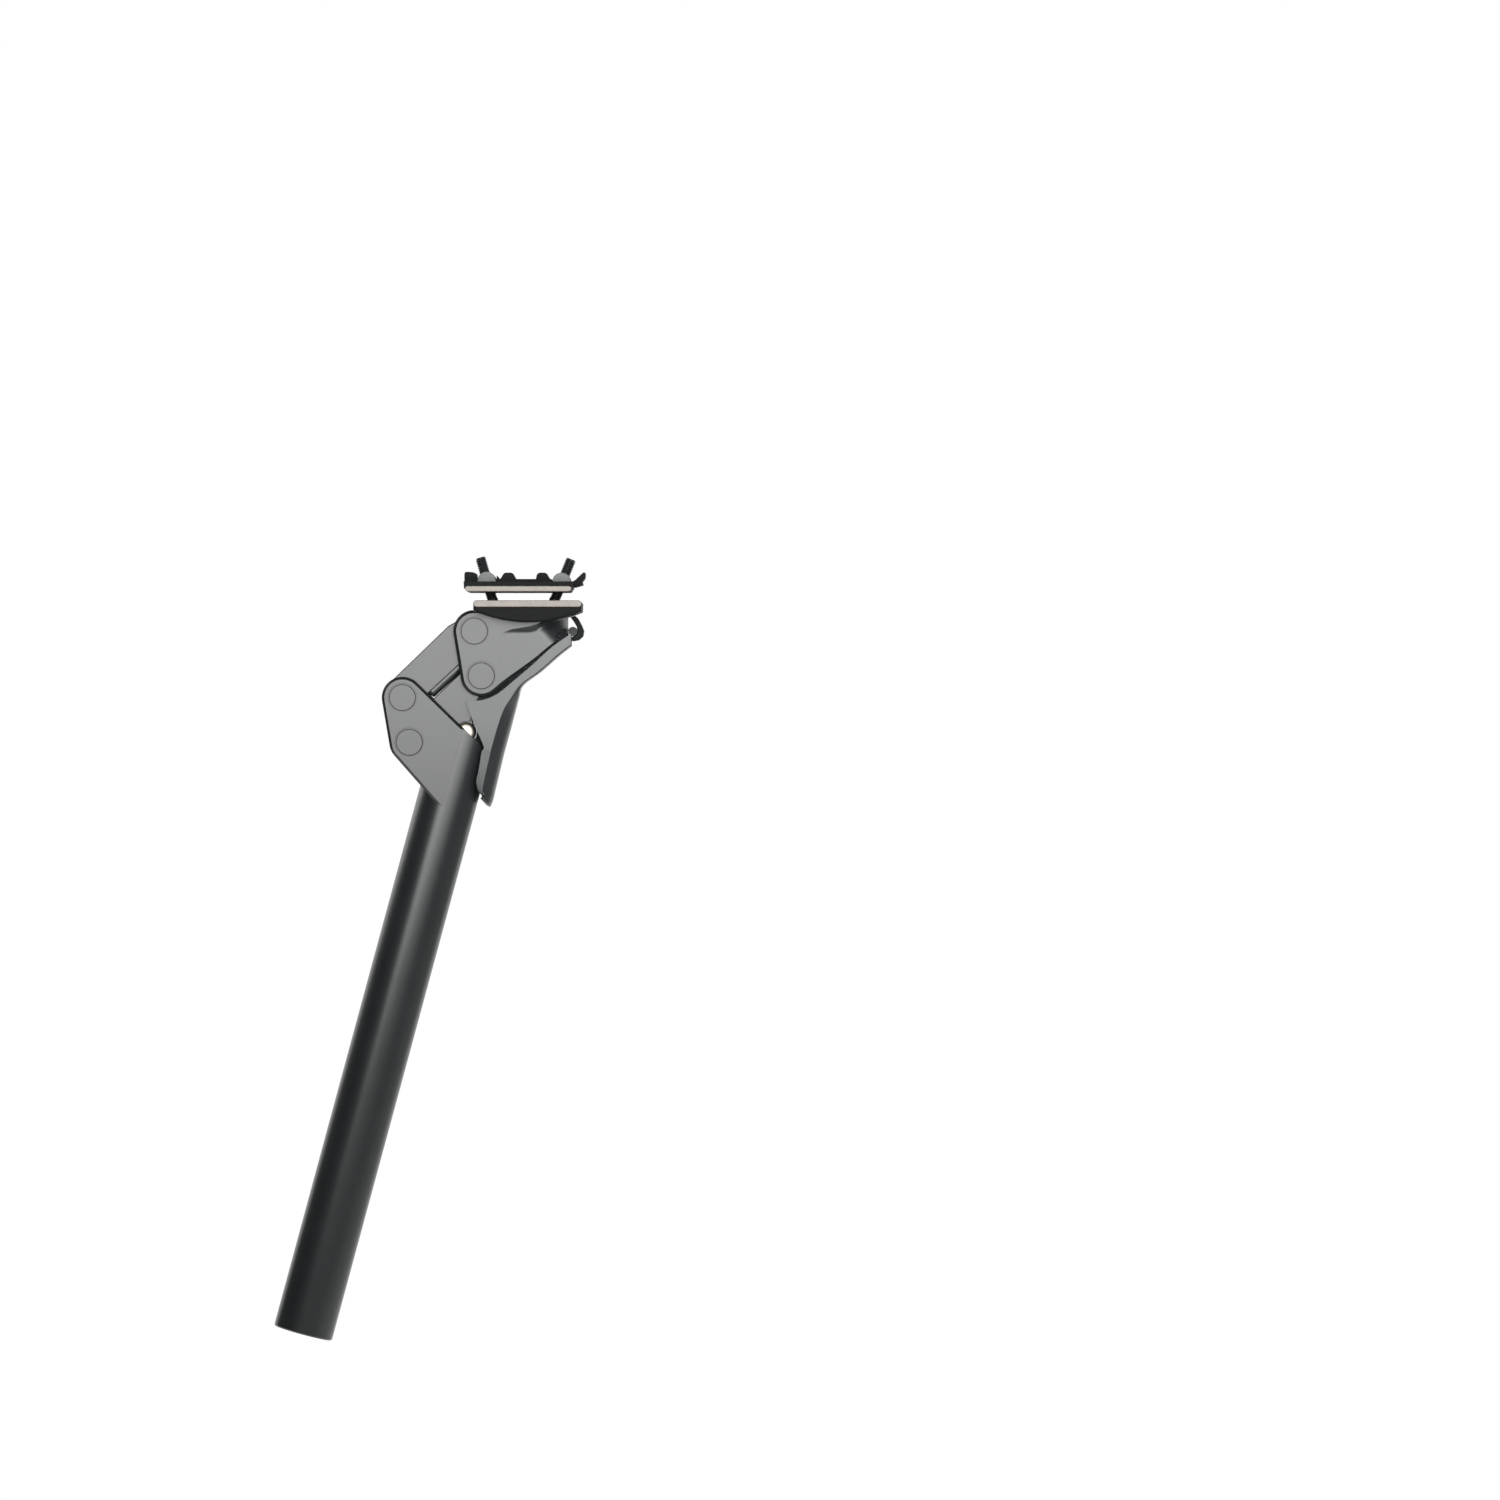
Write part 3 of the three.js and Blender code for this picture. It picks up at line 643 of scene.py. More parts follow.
def along(table, x):
    """A height read from a table of points by straight interpolation."""
    for (x0, z0), (x1, z1) in zip(table, table[1:]):
        if x <= x1:
            return z0 + (z1 - z0) * (x - x0) / (x1 - x0)
    return table[-1][1]


def hollow_depth(x, below):
    """How far the flank is sunk at a place along the ledge and a distance under it."""
    grown = (x - HOLLOW_START) / (HOLLOW_END - HOLLOW_START)
    deep = 1.3 * ease(grown * 1.7)
    roll = 1.5 + 2.0 * ease(grown * 1.7)
    depth = deep * math.sin(math.pi / 2 * min(1.0, max(0.0, below) / roll))
    tail = 5.2 * ease((x - 26.5 - 0.6 * below) / 12.0) * ease(below / 1.2)
    return depth + tail - 0.03


def flank_hollow(side):
    """The cutter for the sculpted hollow on one flank: sharp under its ledge, fading out below."""
    half = bpy.context.scene.seatpost_sizes.tube_diameter / 2
    across_count, down_count = 90, 80
    nothing_selected()
    bpy.ops.mesh.primitive_grid_add(x_subdivisions=across_count, y_subdivisions=down_count)
    cutter = bpy.context.object
    cutter.name = "hollow"
    for i, vertex in enumerate(cutter.data.vertices):
        x = 8.0 + 37.0 * (i % (across_count + 1)) / across_count
        below = 34.0 * ((i // (across_count + 1)) / down_count) ** 1.5
        vertex.co = (x, side * (half - hollow_depth(x, below)), along(LEDGE, x) - below)
    outwards = {"TRANSFORM_OT_translate": {"value": (0, side * 9, 0)}}
    return edit(cutter, (bpy.ops.mesh.extrude_region_move, outwards),
                (bpy.ops.mesh.normals_make_consistent, {"inside": False}))


def bolt_way(seat, nut):
    """The slot that a bolt swings in, and the sink for its head."""
    way = prism("way", [(-4.1, 1), (4.1, 1), (4.1, 40), (-4.1, 40)], -2.9, 2.9)
    sink = turned("sink", [(0, -40), (5.4, -40), (5.4, 1.75), (0, 1.75)], 48)
    return [move(tool, leaning(seat, nut)) for tool in (way, sink)]


class SEATPOST_OT_head(bpy.types.Operator):
    """Model the head with its cheeks, cradle and sculpted flanks"""
    bl_idname = "seatpost.head"
    bl_label = "Head"

    def execute(self, context):
        sizes = context.scene.seatpost_sizes
        half = sizes.tube_diameter / 2
        side = wrap([(*B1, 9.6), (*B2, 9.4), (42.4, 0.2), (42.4, 9.5)])
        head = prism("head_shell", side, -half, half, sizes.head_edge, 1)
        space = wrap([(*B1, 9.2), (*B2, 8.6), (-40, 20), (-40, -60), (6, -60)])
        cut(head,
            drum("cradle", CRADLE, CRADLE_R + 0.06, -20, 20, sides=360),
            prism("space", space, -SLOT_HALF, SLOT_HALF),
            flank_hollow(1), flank_hollow(-1),
            *bolt_way(FRONT_SEAT, FRONT_NUT), *bolt_way(REAR_SEAT, REAR_NUT),
            *axle_seats(B1), *axle_seats(B2))
        finish(head, HEAD, paint("anodised"), "head", "head_body", angle=25,
               slot="satin_anodised_aluminium")
        return {"FINISHED"}


def axle(name):
    """A shouldered axle: a flat cap with a fine chamfer, a shank and a threaded bore."""
    half = bpy.context.scene.seatpost_sizes.tube_diameter / 2
    end, face, back = SLOT_HALF + 0.1, half - 0.1, half - CAP_T
    r, bore = AXLE_R, STUD_R + GAP
    profile = [(0, -face), (CAP_R - 0.25, -face), (CAP_R, -face + 0.25), (CAP_R, -back), (r, -back),
               (r, end - 0.4), (r - 0.4, end), (bore, end), (bore, -2), (0, -2)]
    return turned(name, profile, 72)


def axle_screw(name):
    """The screw in the axle's far end: the same cap with a hexagon socket."""
    half = bpy.context.scene.seatpost_sizes.tube_diameter / 2
    face, back, start = half - 0.1, half - CAP_T, SLOT_HALF + 0.5
    profile = [(0, 0), (STUD_R - 0.4, 0), (STUD_R, 0.4), (STUD_R, start), (AXLE_R, start), (AXLE_R, back),
               (CAP_R, back), (CAP_R, face - 0.25), (CAP_R - 0.25, face), (1.9, face), (0, face)]
    return cut(turned(name, profile, 72), hexagon("socket", 3, half - 2.5, half + 1))


class SEATPOST_OT_axles(bpy.types.Operator):
    """Model the four pivot axles and their screws"""
    bl_idname = "seatpost.axles"
    bl_label = "Axles"

    def execute(self, context):
        for label, centre, place, body in (
            ("front_upper", A1, TUBE, "post"), ("front_lower", A2, TUBE, "post"),
            ("rear_upper", B1, HEAD, "head"), ("rear_lower", B2, HEAD, "head"),
        ):
            piece = across(axle(f"axle_shell_{label}"), centre)
            finish(piece, place, paint("anodised"), body, f"axle_{label}",
                   slot="satin_anodised_aluminium")
            screw = across(axle_screw(f"axle_screw_shell_{label}"), centre)
            finish(screw, place, paint("oxide"), body, f"axle_screw_{label}", slot="black_steel")
        return {"FINISHED"}


class SEATPOST_OT_rollers(bpy.types.Operator):
    """Model the pair of ground rollers under the lower link, and their pin"""
    bl_idname = "seatpost.rollers"
    bl_label = "Rollers"

    def execute(self, context):
        domed = [(0, 4.9), (4.1, 4.9), (4.4, 5.2), (4.4, 7.2), (4.2, 7.7), (3.7, 8.1), (2.9, 8.45),
                 (1.9, 8.65), (1.0, 8.72), (0, 8.74)]
        for label, side in (("near", -1), ("far", 1)):
            piece = across(turned(f"roller_shell_{label}", domed, 72), ROLLER, side)
            finish(piece, LOWER_LINK, paint("polished"), "rollers", f"roller_{label}",
                   slot="polished_steel")
        pin = drum("roller_pin_shell", ROLLER, 2.0, -5.4, 5.4, 0.3, 40)
        finish(pin, LOWER_LINK, paint("polished"), "lower_link", "roller_pin", slot="polished_steel")
        return {"FINISHED"}


# Stations down the cover: free edge of the side walls, outer face of the back, half width, and how
# far in front of the back its rounding meets the flat side in a crease.
COVER = (
    ((43.9, -1.2), (43.9, -6.8), 13.3, 0.8), ((35.2, -7.3), (38.6, -10.9), 13.4, 0.8),
    ((26.5, -15.2), (30.0, -18.4), 13.4, 0.8), ((17.8, -22.6), (21.9, -24.6), 13.4, 1.0),
    ((10.2, -28.7), (20.0, -30.2), 13.4, 3.0), ((3.2, -31.4), (18.9, -34.6), 13.4, 4.6),
    ((-3.1, -31.6), (17.9, -38.4), 13.4, 5.3), ((-2.9, -34.4), (17.0, -42.0), 13.4, 5.7),
    ((-0.2, -42.0), (15.2, -48.6), 13.4, 6.0), ((4.2, -52.4), (13.2, -56.0), 13.3, 6.0),
    ((3.3, -55.0), (12.4, -59.3), 13.2, 6.0), ((2.0, -62.9), (10.9, -65.6), 12.9, 5.9),
    ((0.9, -68.1), (9.4, -71.9), 12.6, 5.8), ((1.6, -72.4), (8.2, -77.0), 12.3, 5.6),
    ((3.1, -74.4), (6.9, -80.0), 12.0, 5.2),
)
COVER_STEPS = 6
CREASE = math.radians(38)


def cover_stations():
    """The stations with eased ones between them, as flat rows of numbers."""
    rows = [(*edge, *back, half, corner) for edge, back, half, corner in COVER]
    made = []
    for k in range(len(rows) - 1):
        p = [rows[max(k - 1, 0)], rows[k], rows[k + 1], rows[min(k + 2, len(rows) - 1)]]
        for i in range(COVER_STEPS):
            t = i / COVER_STEPS
            made.append([
                b + 0.5 * t * ((c - a) + t * (2 * a - 5 * b + 4 * c - d + t * (3 * (b - c) + d - a)))
                for a, b, c, d in zip(*p)])
    made.append(list(rows[-1]))
    return made


def cover_section(row):
    """One U-shaped section, from one free edge round the back to the other."""
    ex, ez, bx, bz, half, corner = row
    depth = math.hypot(bx - ex, bz - ez)
    ux, uz = (bx - ex) / depth, (bz - ez) / depth
    straight = depth - corner
    flat = [(straight * i / 5, half) for i in range(5)]
    first = CREASE * ease((corner - 0.8) / 3)
    wide = corner * (1 + 0.7 * ease((corner - 0.8) / 4))
    bend = [(straight + corner * (math.sin(a) - math.sin(first)) / (1 - math.sin(first)),
             half - wide * (1 - math.cos(a) / math.cos(first)))
            for a in (first + (math.pi / 2 - first) * i / 10 for i in range(11))]
    back = [(depth, (half - wide) * (1 - i / 3)) for i in range(1, 4)]
    run = flat + bend + back
    run += [(s, -y) for s, y in reversed(run[:-1])]
    return [(ex + ux * s, y, ez + uz * s) for s, y in run]


class SEATPOST_OT_cover(bpy.types.Operator):
    """Model the rear cover, its clip and its pin"""
    bl_idname = "seatpost.cover"
    bl_label = "Cover"

    def execute(self, context):
        sections = [cover_section(row) for row in cover_stations()]
        nothing_selected()
        bpy.ops.mesh.primitive_grid_add(
            x_subdivisions=len(sections[0]) - 1, y_subdivisions=len(sections) - 1)
        cover = context.object
        cover.name = "cover_shell"
        for vertex, place in zip(cover.data.vertices, [p for section in sections for p in section]):
            vertex.co = place
        edit(cover, (bpy.ops.mesh.normals_make_consistent, {"inside": False}))
        middle = cover.data.polygons[len(cover.data.polygons) // 2]
        if middle.normal.x < 0 or cover.data.polygons[len(sections[0]) // 2].normal.z > 0:
            edit(cover, (bpy.ops.mesh.flip_normals, {}))
        wall = cover.modifiers.new("wall", "SOLIDIFY")
        wall.thickness = context.scene.seatpost_sizes.cover_wall
        wall.offset = -1
        apply(cover, wall)
        soft = cover.modifiers.new("edge", "BEVEL")
        soft.width, soft.segments = 0.35, 3
        soft.limit_method, soft.angle_limit = "ANGLE", math.radians(55)
        apply(cover, soft)
        finish(cover, HEAD, paint("cover"), "head", "cover", angle=20, slot="cover_polymer")
        # A dark rubber strip on each side closes the gap under the head's edge as painted shade, standing in
        # for the shadow in that gap; a dark rubber block in the cover's mouth is painted shade for the shade
        # inside it.
        shade_strip_outline = [(41.5, 1.6), (8.6, -25.8), *arc(B2, 7.6, -50, -92, 6), (0.8, -31.6), (2.0, -32.6),
                (5.6, -32.8), (11.2, -30.6), (18.6, -24.4), (27.4, -16.8), (36.0, -9.0), (43.0, -2.8)]
        for side, label in ((-1, "near"), (1, "far")):
            low, high = sorted((side * 9.3, side * 10.9))
            # Painted shade: a dark strip standing in for the shadow in the gap under the head's edge.
            shade_strip = prism(f"cover_shade_strip_{label}", shade_strip_outline, low, high, 0.1, 1)
            finish(shade_strip, HEAD, paint("rubber"), "head", slot="bumper_rubber")
        shade_block_outline = [(-0.7, -42.2), (0.77, -44.2), (1.07, -45.9), (0.77, -47.6), (-0.1, -49.3), (0.1, -51.1),
                 (2.9, -51.9), (4.6, -55.5), (12.0, -55.5), (13.0, -48.0), (3.6, -40.6)]
        # Painted shade: a dark block standing in for the shade inside the cover's mouth.
        rib = prism("cover_shade_block", shade_block_outline, -8.4, 8.4, 0.3, 2)
        finish(rib, HEAD, paint("rubber"), "head", slot="bumper_rubber")
        band = [(45.7, 7.0), (47.0, 5.9), (48.7, 2.7), (49.7, 0.2), (49.3, -2.3), (47.4, -4.0), (45.0, -4.5),
                (43.8, -4.2), (43.6, -3.0), (44.6, -2.6), (45.9, -1.9), (46.8, -0.6), (46.5, 1.9),
                (45.2, 4.2), (43.6, 6.3)]
        clip = prism("cover_clip_shell", band, -8, 8, 0.6)
        finish(clip, HEAD, paint("nylon"), "head", "cover_clip", slot="clip_polymer")
        self.knurled_pin()
        return {"FINISHED"}

    def knurled_pin(self):
        """A cross pin whose surface carries fine ridges round it."""
        x, z, r = 44.6, -0.1, 2.2
        pin = drum("cover_pin_shell", (x, z), r, -8.9, 8.9, sides=48)
        for vertex in pin.data.vertices:
            turn = math.atan2(vertex.co.z - z, vertex.co.x - x)
            depth = 1 - 0.09 * (round(turn / (math.pi / 24)) % 2)
            vertex.co.x = x + (vertex.co.x - x) * depth
            vertex.co.z = z + (vertex.co.z - z) * depth
        cut(pin,
            drum("hole", (x, z), 1.2, 7.5, 10, sides=24),
            drum("hole", (x, z), 1.2, -10, -7.5, sides=24))
        finish(pin, HEAD, paint("oxide"), "head", "cover_pin", angle=15, slot="black_steel")


def rail_grooves():
    y, z, r = RAIL
    made = []
    for side in (-1, 1):
        nothing_selected()
        bpy.ops.mesh.primitive_cylinder_add(
            vertices=96, radius=r, depth=90, location=(22, side * y, z), rotation=(0, math.pi / 2, 0))
        bpy.ops.object.transform_apply(location=True, rotation=True, scale=True)
        made.append(bpy.context.object)
    return made


def lip(x0, x1, z0, z1):
    """The round-ended plate that a clamp half grips the rails with."""
    r = (z1 - z0) / 2
    ends = wrap([(x0 + r, z0 + r, r), (x1 - r, z0 + r, r)], 32)
    return prism("lip", ends, -CLAMP_HALF, CLAMP_HALF, 0.35)


class SEATPOST_OT_clamp(bpy.types.Operator):
    """Model the two halves of the rail clamp"""
    bl_idname = "seatpost.clamp"
    bl_label = "Rail clamp"

    def execute(self, context):
        keel = arc(CRADLE, CRADLE_R, 246.2, 292.8, 60) + [(48.9, 12), (-0.2, 12)]
        lower = prism("lower_clamp_shell", keel, -KEEL_HALF, KEEL_HALF, 0.9, 4)
        join(lower, lip(-0.2, 48.9, 10.8, 13.8))
        cut(lower, *rail_grooves(),
            prism("tray", [(6, 9.2), (43, 9.2), (43, 20), (6, 20)], -15, 15),
            prism("way", [(3.2, 0), (18, 0), (15, 20), (2.2, 20)], -3.1, 3.1),
            prism("way", [(24, 0), (39, 0), (43.5, 20), (28.5, 20)], -3.1, 3.1))
        finish(lower, HEAD, paint("keel"), "clamp", "lower_clamp", slot="clamp_aluminium")
        self.pale_lips(lower)
        centre = [
            (-4.6, 20), (-4.6, 26.1), (-4.2, 26.8), (-3.4, 27), (-0.6, 26.8), (0.6, 26.3), (1.5, 25.6),
            (9.6, 25.6), (10.6, 24.9), (11.2, 23.9), (11.9, 23.9), (12.6, 25.2), (13.4, 26.3), (14.2, 26.6),
            (16.6, 26.6), (17.4, 26.3), (18.2, 24.8), (18.9, 23.7), (27.9, 23.7), (28.3, 25.6), (29, 26.4),
            (29.8, 26.6), (31.8, 26.6), (32.8, 26.2), (33.6, 24.8), (34.4, 23.7), (44.6, 22.6), (45.8, 23.3),
            (49.2, 26.5), (49.9, 26.8), (50.4, 26.4), (50.3, 24.2), (49, 22.4), (49.4, 21), (46, 20)]
        upper = prism("upper_clamp_shell", centre, -11, 11, 0.4)
        join(upper,
             prism("band", [(-4.4, 19.2), (44.8, 19.2), (45, 22.4), (-4.6, 22.4)],
                   -KEEL_HALF, KEEL_HALF, 0.3),
             lip(-3.9, 44.2, 17.8, 20.3))
        room, half = NUT_R + 0.35, NUT_HALF + 0.4
        saddles = [drum("saddle", at, room, -half, half) for at in (FRONT_NUT, REAR_NUT)]
        mouths = [
            prism("mouth", [(x - room, z), (x + room, z), (x + room, z + 9), (x - room, z + 9)], -half, half)
            for x, z in (FRONT_NUT, REAR_NUT)]
        cut(upper, *rail_grooves(), *saddles, *mouths,
            prism("way", [(2.2, 10), (12, 10), (9.5, 24), (1.5, 24)], -3.1, 3.1),
            prism("way", [(31.5, 10), (41.5, 10), (43.6, 24), (35.5, 24)], -3.1, 3.1))
        finish(upper, HEAD, paint("keel"), "clamp", "upper_clamp", slot="clamp_aluminium")
        self.pale_lips(upper)
        return {"FINISHED"}

    def pale_lips(self, clamp):
        """The outermost faces of the lips are milled bare."""
        outside = (KEEL_HALF + 0.15) / 1000
        paint_faces(clamp, paint("lip"), lambda at, normal: abs(at.y) > outside)


def thread(piece, r, start, end, pitch):
    """Press a screw thread into the part of a turned shank between two heights."""
    depth = 0.55 * pitch
    for vertex in piece.data.vertices:
        x, y, z = vertex.co
        reach = math.hypot(x, y)
        if start <= z <= end and abs(reach - r) < 1e-3:
            phase = (z / pitch - math.atan2(y, x) / (2 * math.pi)) % 1
            groove = depth * (1 - abs(2 * phase - 1))
            groove *= min(1, (z - start) / pitch, (end - z) / (0.5 * pitch) + 0.3)
            vertex.co.x, vertex.co.y = x * (1 - groove / r), y * (1 - groove / r)


class SEATPOST_OT_fasteners(bpy.types.Operator):
    """Model the clamp bolts and the barrel nuts"""
    bl_idname = "seatpost.fasteners"
    bl_label = "Bolts and nuts"

    def execute(self, context):
        pitch = context.scene.seatpost_sizes.thread_pitch
        for label, seat, nut in (("front", FRONT_SEAT, FRONT_NUT), ("rear", REAR_SEAT, REAR_NUT)):
            length = math.dist(seat, nut) + BOLT_PAST_NUT
            start = length - 20
            rings = [(STUD_R, start + 0.1 * i) for i in range(int((20 - 0.6) / 0.1) + 1)]
            profile = [(0, -5), (3.9, -5), (4.2, -4.7), (4.2, -0.3), (3.9, 0), (STUD_R, 0), *rings,
                       (1.9, length), (0, length)]
            bolt = turned(f"clamp_bolt_shell_{label}", profile, 40)
            thread(bolt, STUD_R, start, length - 0.5, pitch)
            cut(bolt, hexagon("socket", 4, -6, -2.2))
            move(bolt, leaning(seat, nut))
            finish(bolt, HEAD, paint("oxide"), f"{label}_bolt", f"clamp_bolt_{label}",
                   angle=50, slot="black_steel")
            barrel = drum(f"barrel_nut_shell_{label}", nut, NUT_R, -NUT_HALF, NUT_HALF, 0.45, 72)
            way = turned("way", [(0, -9), (3.1, -9), (3.1, 9), (0, 9)], 48)
            cut(barrel, move(way, leaning(seat, nut) @ Matrix.Translation((0, 0, math.dist(seat, nut)))))
            finish(barrel, HEAD, paint("phosphate"), f"{label}_nut", f"barrel_nut_{label}", slot="nut_steel")
        return {"FINISHED"}


class SEATPOST_OT_bumpers(bpy.types.Operator):
    """Model the two rubber bumpers"""
    bl_idname = "seatpost.bumpers"
    bl_label = "Bumpers"

    def execute(self, context):
        dome = prism("top_out_bumper_shell", wrap([(*A1, 7.2), (A1[0] + 10.3, A1[1] + 9.2, 9.2)], 72),
                     -4.5, 4.5, 0.8, 4)
        spare = prism("spare", [(-40, -40), (40, -40), (40, -6.2), (-40, -6.2)], -6, 6)
        at_rest = Matrix.Rotation(math.radians(-REST_ANGLE), 4, "Y")
        move(spare, Matrix.Translation((A1[0], 0, A1[1])) @ at_rest)
        cut(dome, drum("hole", A1, AXLE_R + GAP, -6, 6), spare)
        finish(dome, TUBE, paint("rubber"), "post", "top_out_bumper", slot="bumper_rubber")
        profile = [(9.6, 268.6), (13.9, 268.6), (13.9, 262.7), (14.7, 262.7)]
        for i in range(6):
            z = 263.2 + 1.35 * i
            profile += [(15.1, z), (15.1, z + 0.7), (14.6, z + 0.9), (14.6, z + 1.15)]
        profile += [(15.0, 271.6), (14.6, 271.75), (9.6, 270.65)]
        stop = prism("bottom_out_bumper_shell", profile, -6.5, 6.5, 0.2, 2)
        finish(stop, TUBE, paint("rubber"), "post", "bottom_out_bumper", slot="bumper_rubber")
        return {"FINISHED"}


def coil(name, z0, z1, share, r, wire, turns):
    """The part of a closed-end spring between two shares of its turns, as a mesh."""
    closed = (2 * wire + 0.25) / (z1 - z0 - 2 * wire)
    open_rise = (1 - 2 * closed) / (turns - 2)

    def height(t):
        if t < 1:
            return closed * t
        if t > turns - 1:
            return 1 - closed * (turns - t)
        return closed + open_rise * (t - 1)

    start, end = share[0] * turns, share[1] * turns
    count = round((end - start) * 36)
    line = bpy.data.curves.new(name, "CURVE")
    line.dimensions = "3D"
    line.bevel_depth = wire
    line.bevel_resolution = 5
    line.use_fill_caps = True
    spline = line.splines.new("POLY")
    spline.points.add(count)
    for i, point in enumerate(spline.points):
        t = start + (end - start) * i / count
        a = 2 * math.pi * t
        z = z0 + wire + (z1 - z0 - 2 * wire) * height(t)
        point.co = (r * math.cos(a), r * math.sin(a), z, 1)
    piece = bpy.data.objects.new(name, line)
    bpy.context.scene.collection.objects.link(piece)
    solo(piece)
    bpy.ops.object.convert(target="MESH")
    return bpy.context.object


class SEATPOST_OT_springs(bpy.types.Operator):
    """Model the springs, each in two halves, both fixed to the post"""
    bl_idname = "seatpost.springs"
    bl_label = "Springs"

    def execute(self, context):
        travel = abs(JOINTS["plunger_slide"]["range_m"][0]) * 1000
        preload = JOINTS["preload_slide"]["range_m"][1] * 1000
        for label, z0, z1, r, wire, turns in (
            ("main_spring", 96.0, 225.7, 8.9, 2.0, 12), ("inner_spring", 96.0, 239.7, 4.9, 1.2, 15),
        ):
            for half, share, joint, stroke in (
                ("lower", (0, 0.5), "preload_slide", preload),
                ("upper", (0.5, 1), "plunger_slide", travel),
            ):
                piece = coil(f"{label}_{half}_half", z0, z1, share, r, wire, turns)
                finish(piece, TUBE, paint("spring"), "post", label, slot="spring_steel", angle=60)
                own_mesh(piece)
        return {"FINISHED"}


class SEATPOST_OT_inner_parts(bpy.types.Operator):
    """Give the pieces inside the post and the links their finishes"""
    bl_idname = "seatpost.inner_parts"
    bl_label = "Inner parts"

    def execute(self, context):
        wanted = {"plunger": "polished", "plunger_pad": "polished", "plunger_guide": "bronze",
                  "spring_perch": "nylon", "preload_adjuster": "anodised",
                  "bolt_washer_front": "oxide", "bolt_washer_rear": "oxide"}
        wanted.update({name: "bronze" for name in frame["nodes"] if name.startswith("bush_")})
        for name, look in wanted.items():
            mesh = frame["nodes"][name].data
            mesh.materials.clear()
            mesh.materials.append(paint(look))
        return {"FINISHED"}


# ---- stage -----------------------------------------------------------------------------------
def lamp(name, at, target, size, power):
    """A rectangular soft light of a width and height in metres, aimed at a point."""
    light = bpy.data.lights.new(name, "AREA")
    light.shape = "RECTANGLE"
    light.size, light.size_y = size
    light.energy = power
    made = bpy.data.objects.new(name, light)
    made.location = at
    made.rotation_euler = (Vector(target) - Vector(at)).to_track_quat("-Z", "Y").to_euler()
    made.visible_camera = False
    bpy.context.scene.collection.objects.link(made)
    return made


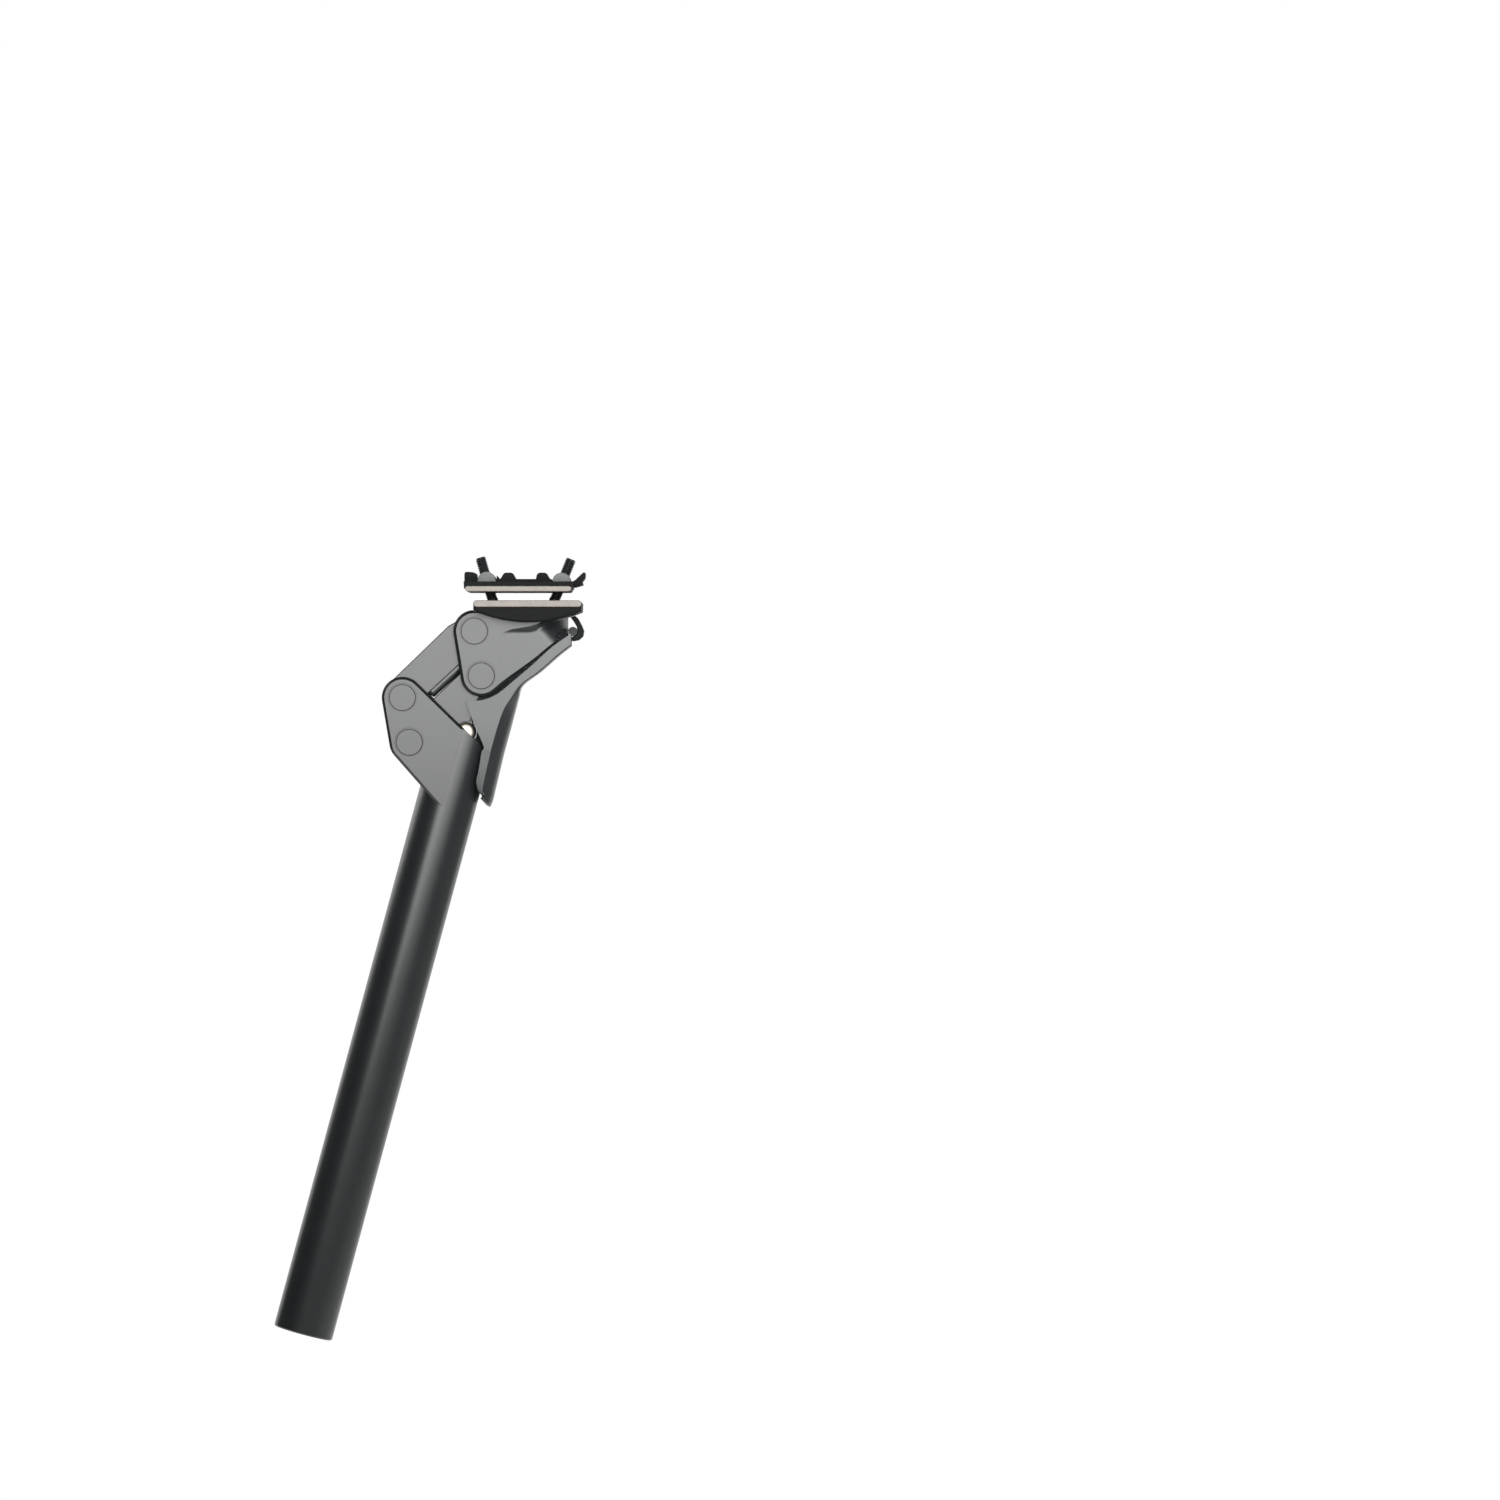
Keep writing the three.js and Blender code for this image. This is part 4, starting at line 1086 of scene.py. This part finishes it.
class SEATPOST_OT_stage(bpy.types.Operator):
    """Set up the pale floor, the soft lights and the camera"""
    bl_idname = "seatpost.stage"
    bl_label = "Stage"

    def execute(self, context):
        scene = context.scene
        self.floor(scene)
        self.room(scene)
        lamp("Front softbox", (0.20, -0.62, 0.405), (0.20, 0, 0.30), (0.80, 0.40), 6.4)
        lamp("Back softbox", (0.10, 1.20, 1.15), (0.10, 0, 1.15), (3.2, 2.9), 29)
        lamp("Left back fill", (-0.75, 0.70, 0.80), (0.08, 0, 0.25), (0.5, 0.5), 9)
        lamp("Right back fill", (0.95, 0.70, 0.80), (0.08, 0, 0.25), (0.5, 0.5), 9)
        camera = bpy.data.cameras.new("Camera")
        camera.sensor_width = 36.0
        distance, width, near = 5.0, 0.6818, 0.010
        camera.lens = camera.sensor_width * (distance - near) / width
        camera.clip_end = 50
        view = bpy.data.objects.new("Camera", camera)
        view.location = (0.2036, -distance, 0.2655)
        view.rotation_euler = (math.pi / 2, 0, 0)
        scene.collection.objects.link(view)
        scene.camera = view
        return {"FINISHED"}

    def floor(self, scene):
        """A pale paper floor, wide enough to fill the views from above."""
        nothing_selected()
        bpy.ops.mesh.primitive_grid_add(x_subdivisions=2, y_subdivisions=2)
        floor = bpy.context.object
        floor.name = "Pale_floor"
        for vertex in floor.data.vertices:
            vertex.co = (8.0 * vertex.co.x, 5.6 * vertex.co.y - 2.4, -0.30)
        material, tree, shader = surface("Pale paper", {"Roughness": 0.9})
        shader.inputs["Base Color"].default_value = linear(scene.seatpost_colours.floor)
        shader.inputs["Emission Color"].default_value = (1, 1, 1, 1)
        self.only_seen(tree, shader.inputs["Emission Strength"], 0.0, 0.72)
        floor.data.materials.append(material)

    def room(self, scene):
        """A white room to look at, which itself lights the post only a little."""
        world = bpy.data.worlds.new("Room")
        world.use_nodes = True
        white = world.node_tree.nodes["Background"]
        white.inputs["Color"].default_value = (1, 1, 1, 1)
        self.only_seen(world.node_tree, white.inputs["Strength"], 0.012, 1.0)
        scene.world = world
        scene.view_settings.view_transform = "Standard"

    def only_seen(self, tree, socket, casts, shows):
        """Let a surface cast one strength of light and show another to the eye."""
        rays = node(tree, "ShaderNodeLightPath")
        strength = node(tree, "ShaderNodeMapRange", {"To Min": casts, "To Max": shows},
                        Value=(rays, "Is Camera Ray"))
        tree.links.new(strength.outputs["Result"], socket)


class SEATPOST_PT_panel(bpy.types.Panel):
    """Sizes, colours and pieces of the seatpost"""
    bl_idname = "SEATPOST_PT_panel"
    bl_label = "Suspension seatpost"
    bl_space_type = "VIEW_3D"
    bl_region_type = "UI"
    bl_category = "Seatpost"

    def draw(self, context):
        for group in (context.scene.seatpost_sizes, context.scene.seatpost_colours):
            for name in group.__annotations__:
                self.layout.prop(group, name)
        for operator in OPERATORS:
            self.layout.operator(operator.bl_idname)


OPERATORS = (
    SEATPOST_OT_stage, SEATPOST_OT_post, SEATPOST_OT_links, SEATPOST_OT_head, SEATPOST_OT_axles,
    SEATPOST_OT_rollers, SEATPOST_OT_cover, SEATPOST_OT_clamp, SEATPOST_OT_fasteners,
    SEATPOST_OT_bumpers, SEATPOST_OT_springs, SEATPOST_OT_inner_parts,
)
CLASSES = (SeatpostSizes, SeatpostColours, *OPERATORS, SEATPOST_PT_panel)


def register():
    for cls in CLASSES:
        bpy.utils.register_class(cls)
    bpy.types.Scene.seatpost_sizes = bpy.props.PointerProperty(type=SeatpostSizes)
    bpy.types.Scene.seatpost_colours = bpy.props.PointerProperty(type=SeatpostColours)


def unregister():
    del bpy.types.Scene.seatpost_colours
    del bpy.types.Scene.seatpost_sizes
    for cls in reversed(CLASSES):
        bpy.utils.unregister_class(cls)


def main():
    register()
    for operator in OPERATORS:
        group, name = operator.bl_idname.split(".")
        getattr(getattr(bpy.ops, group), name)()


if __name__ == "__main__":
    main()
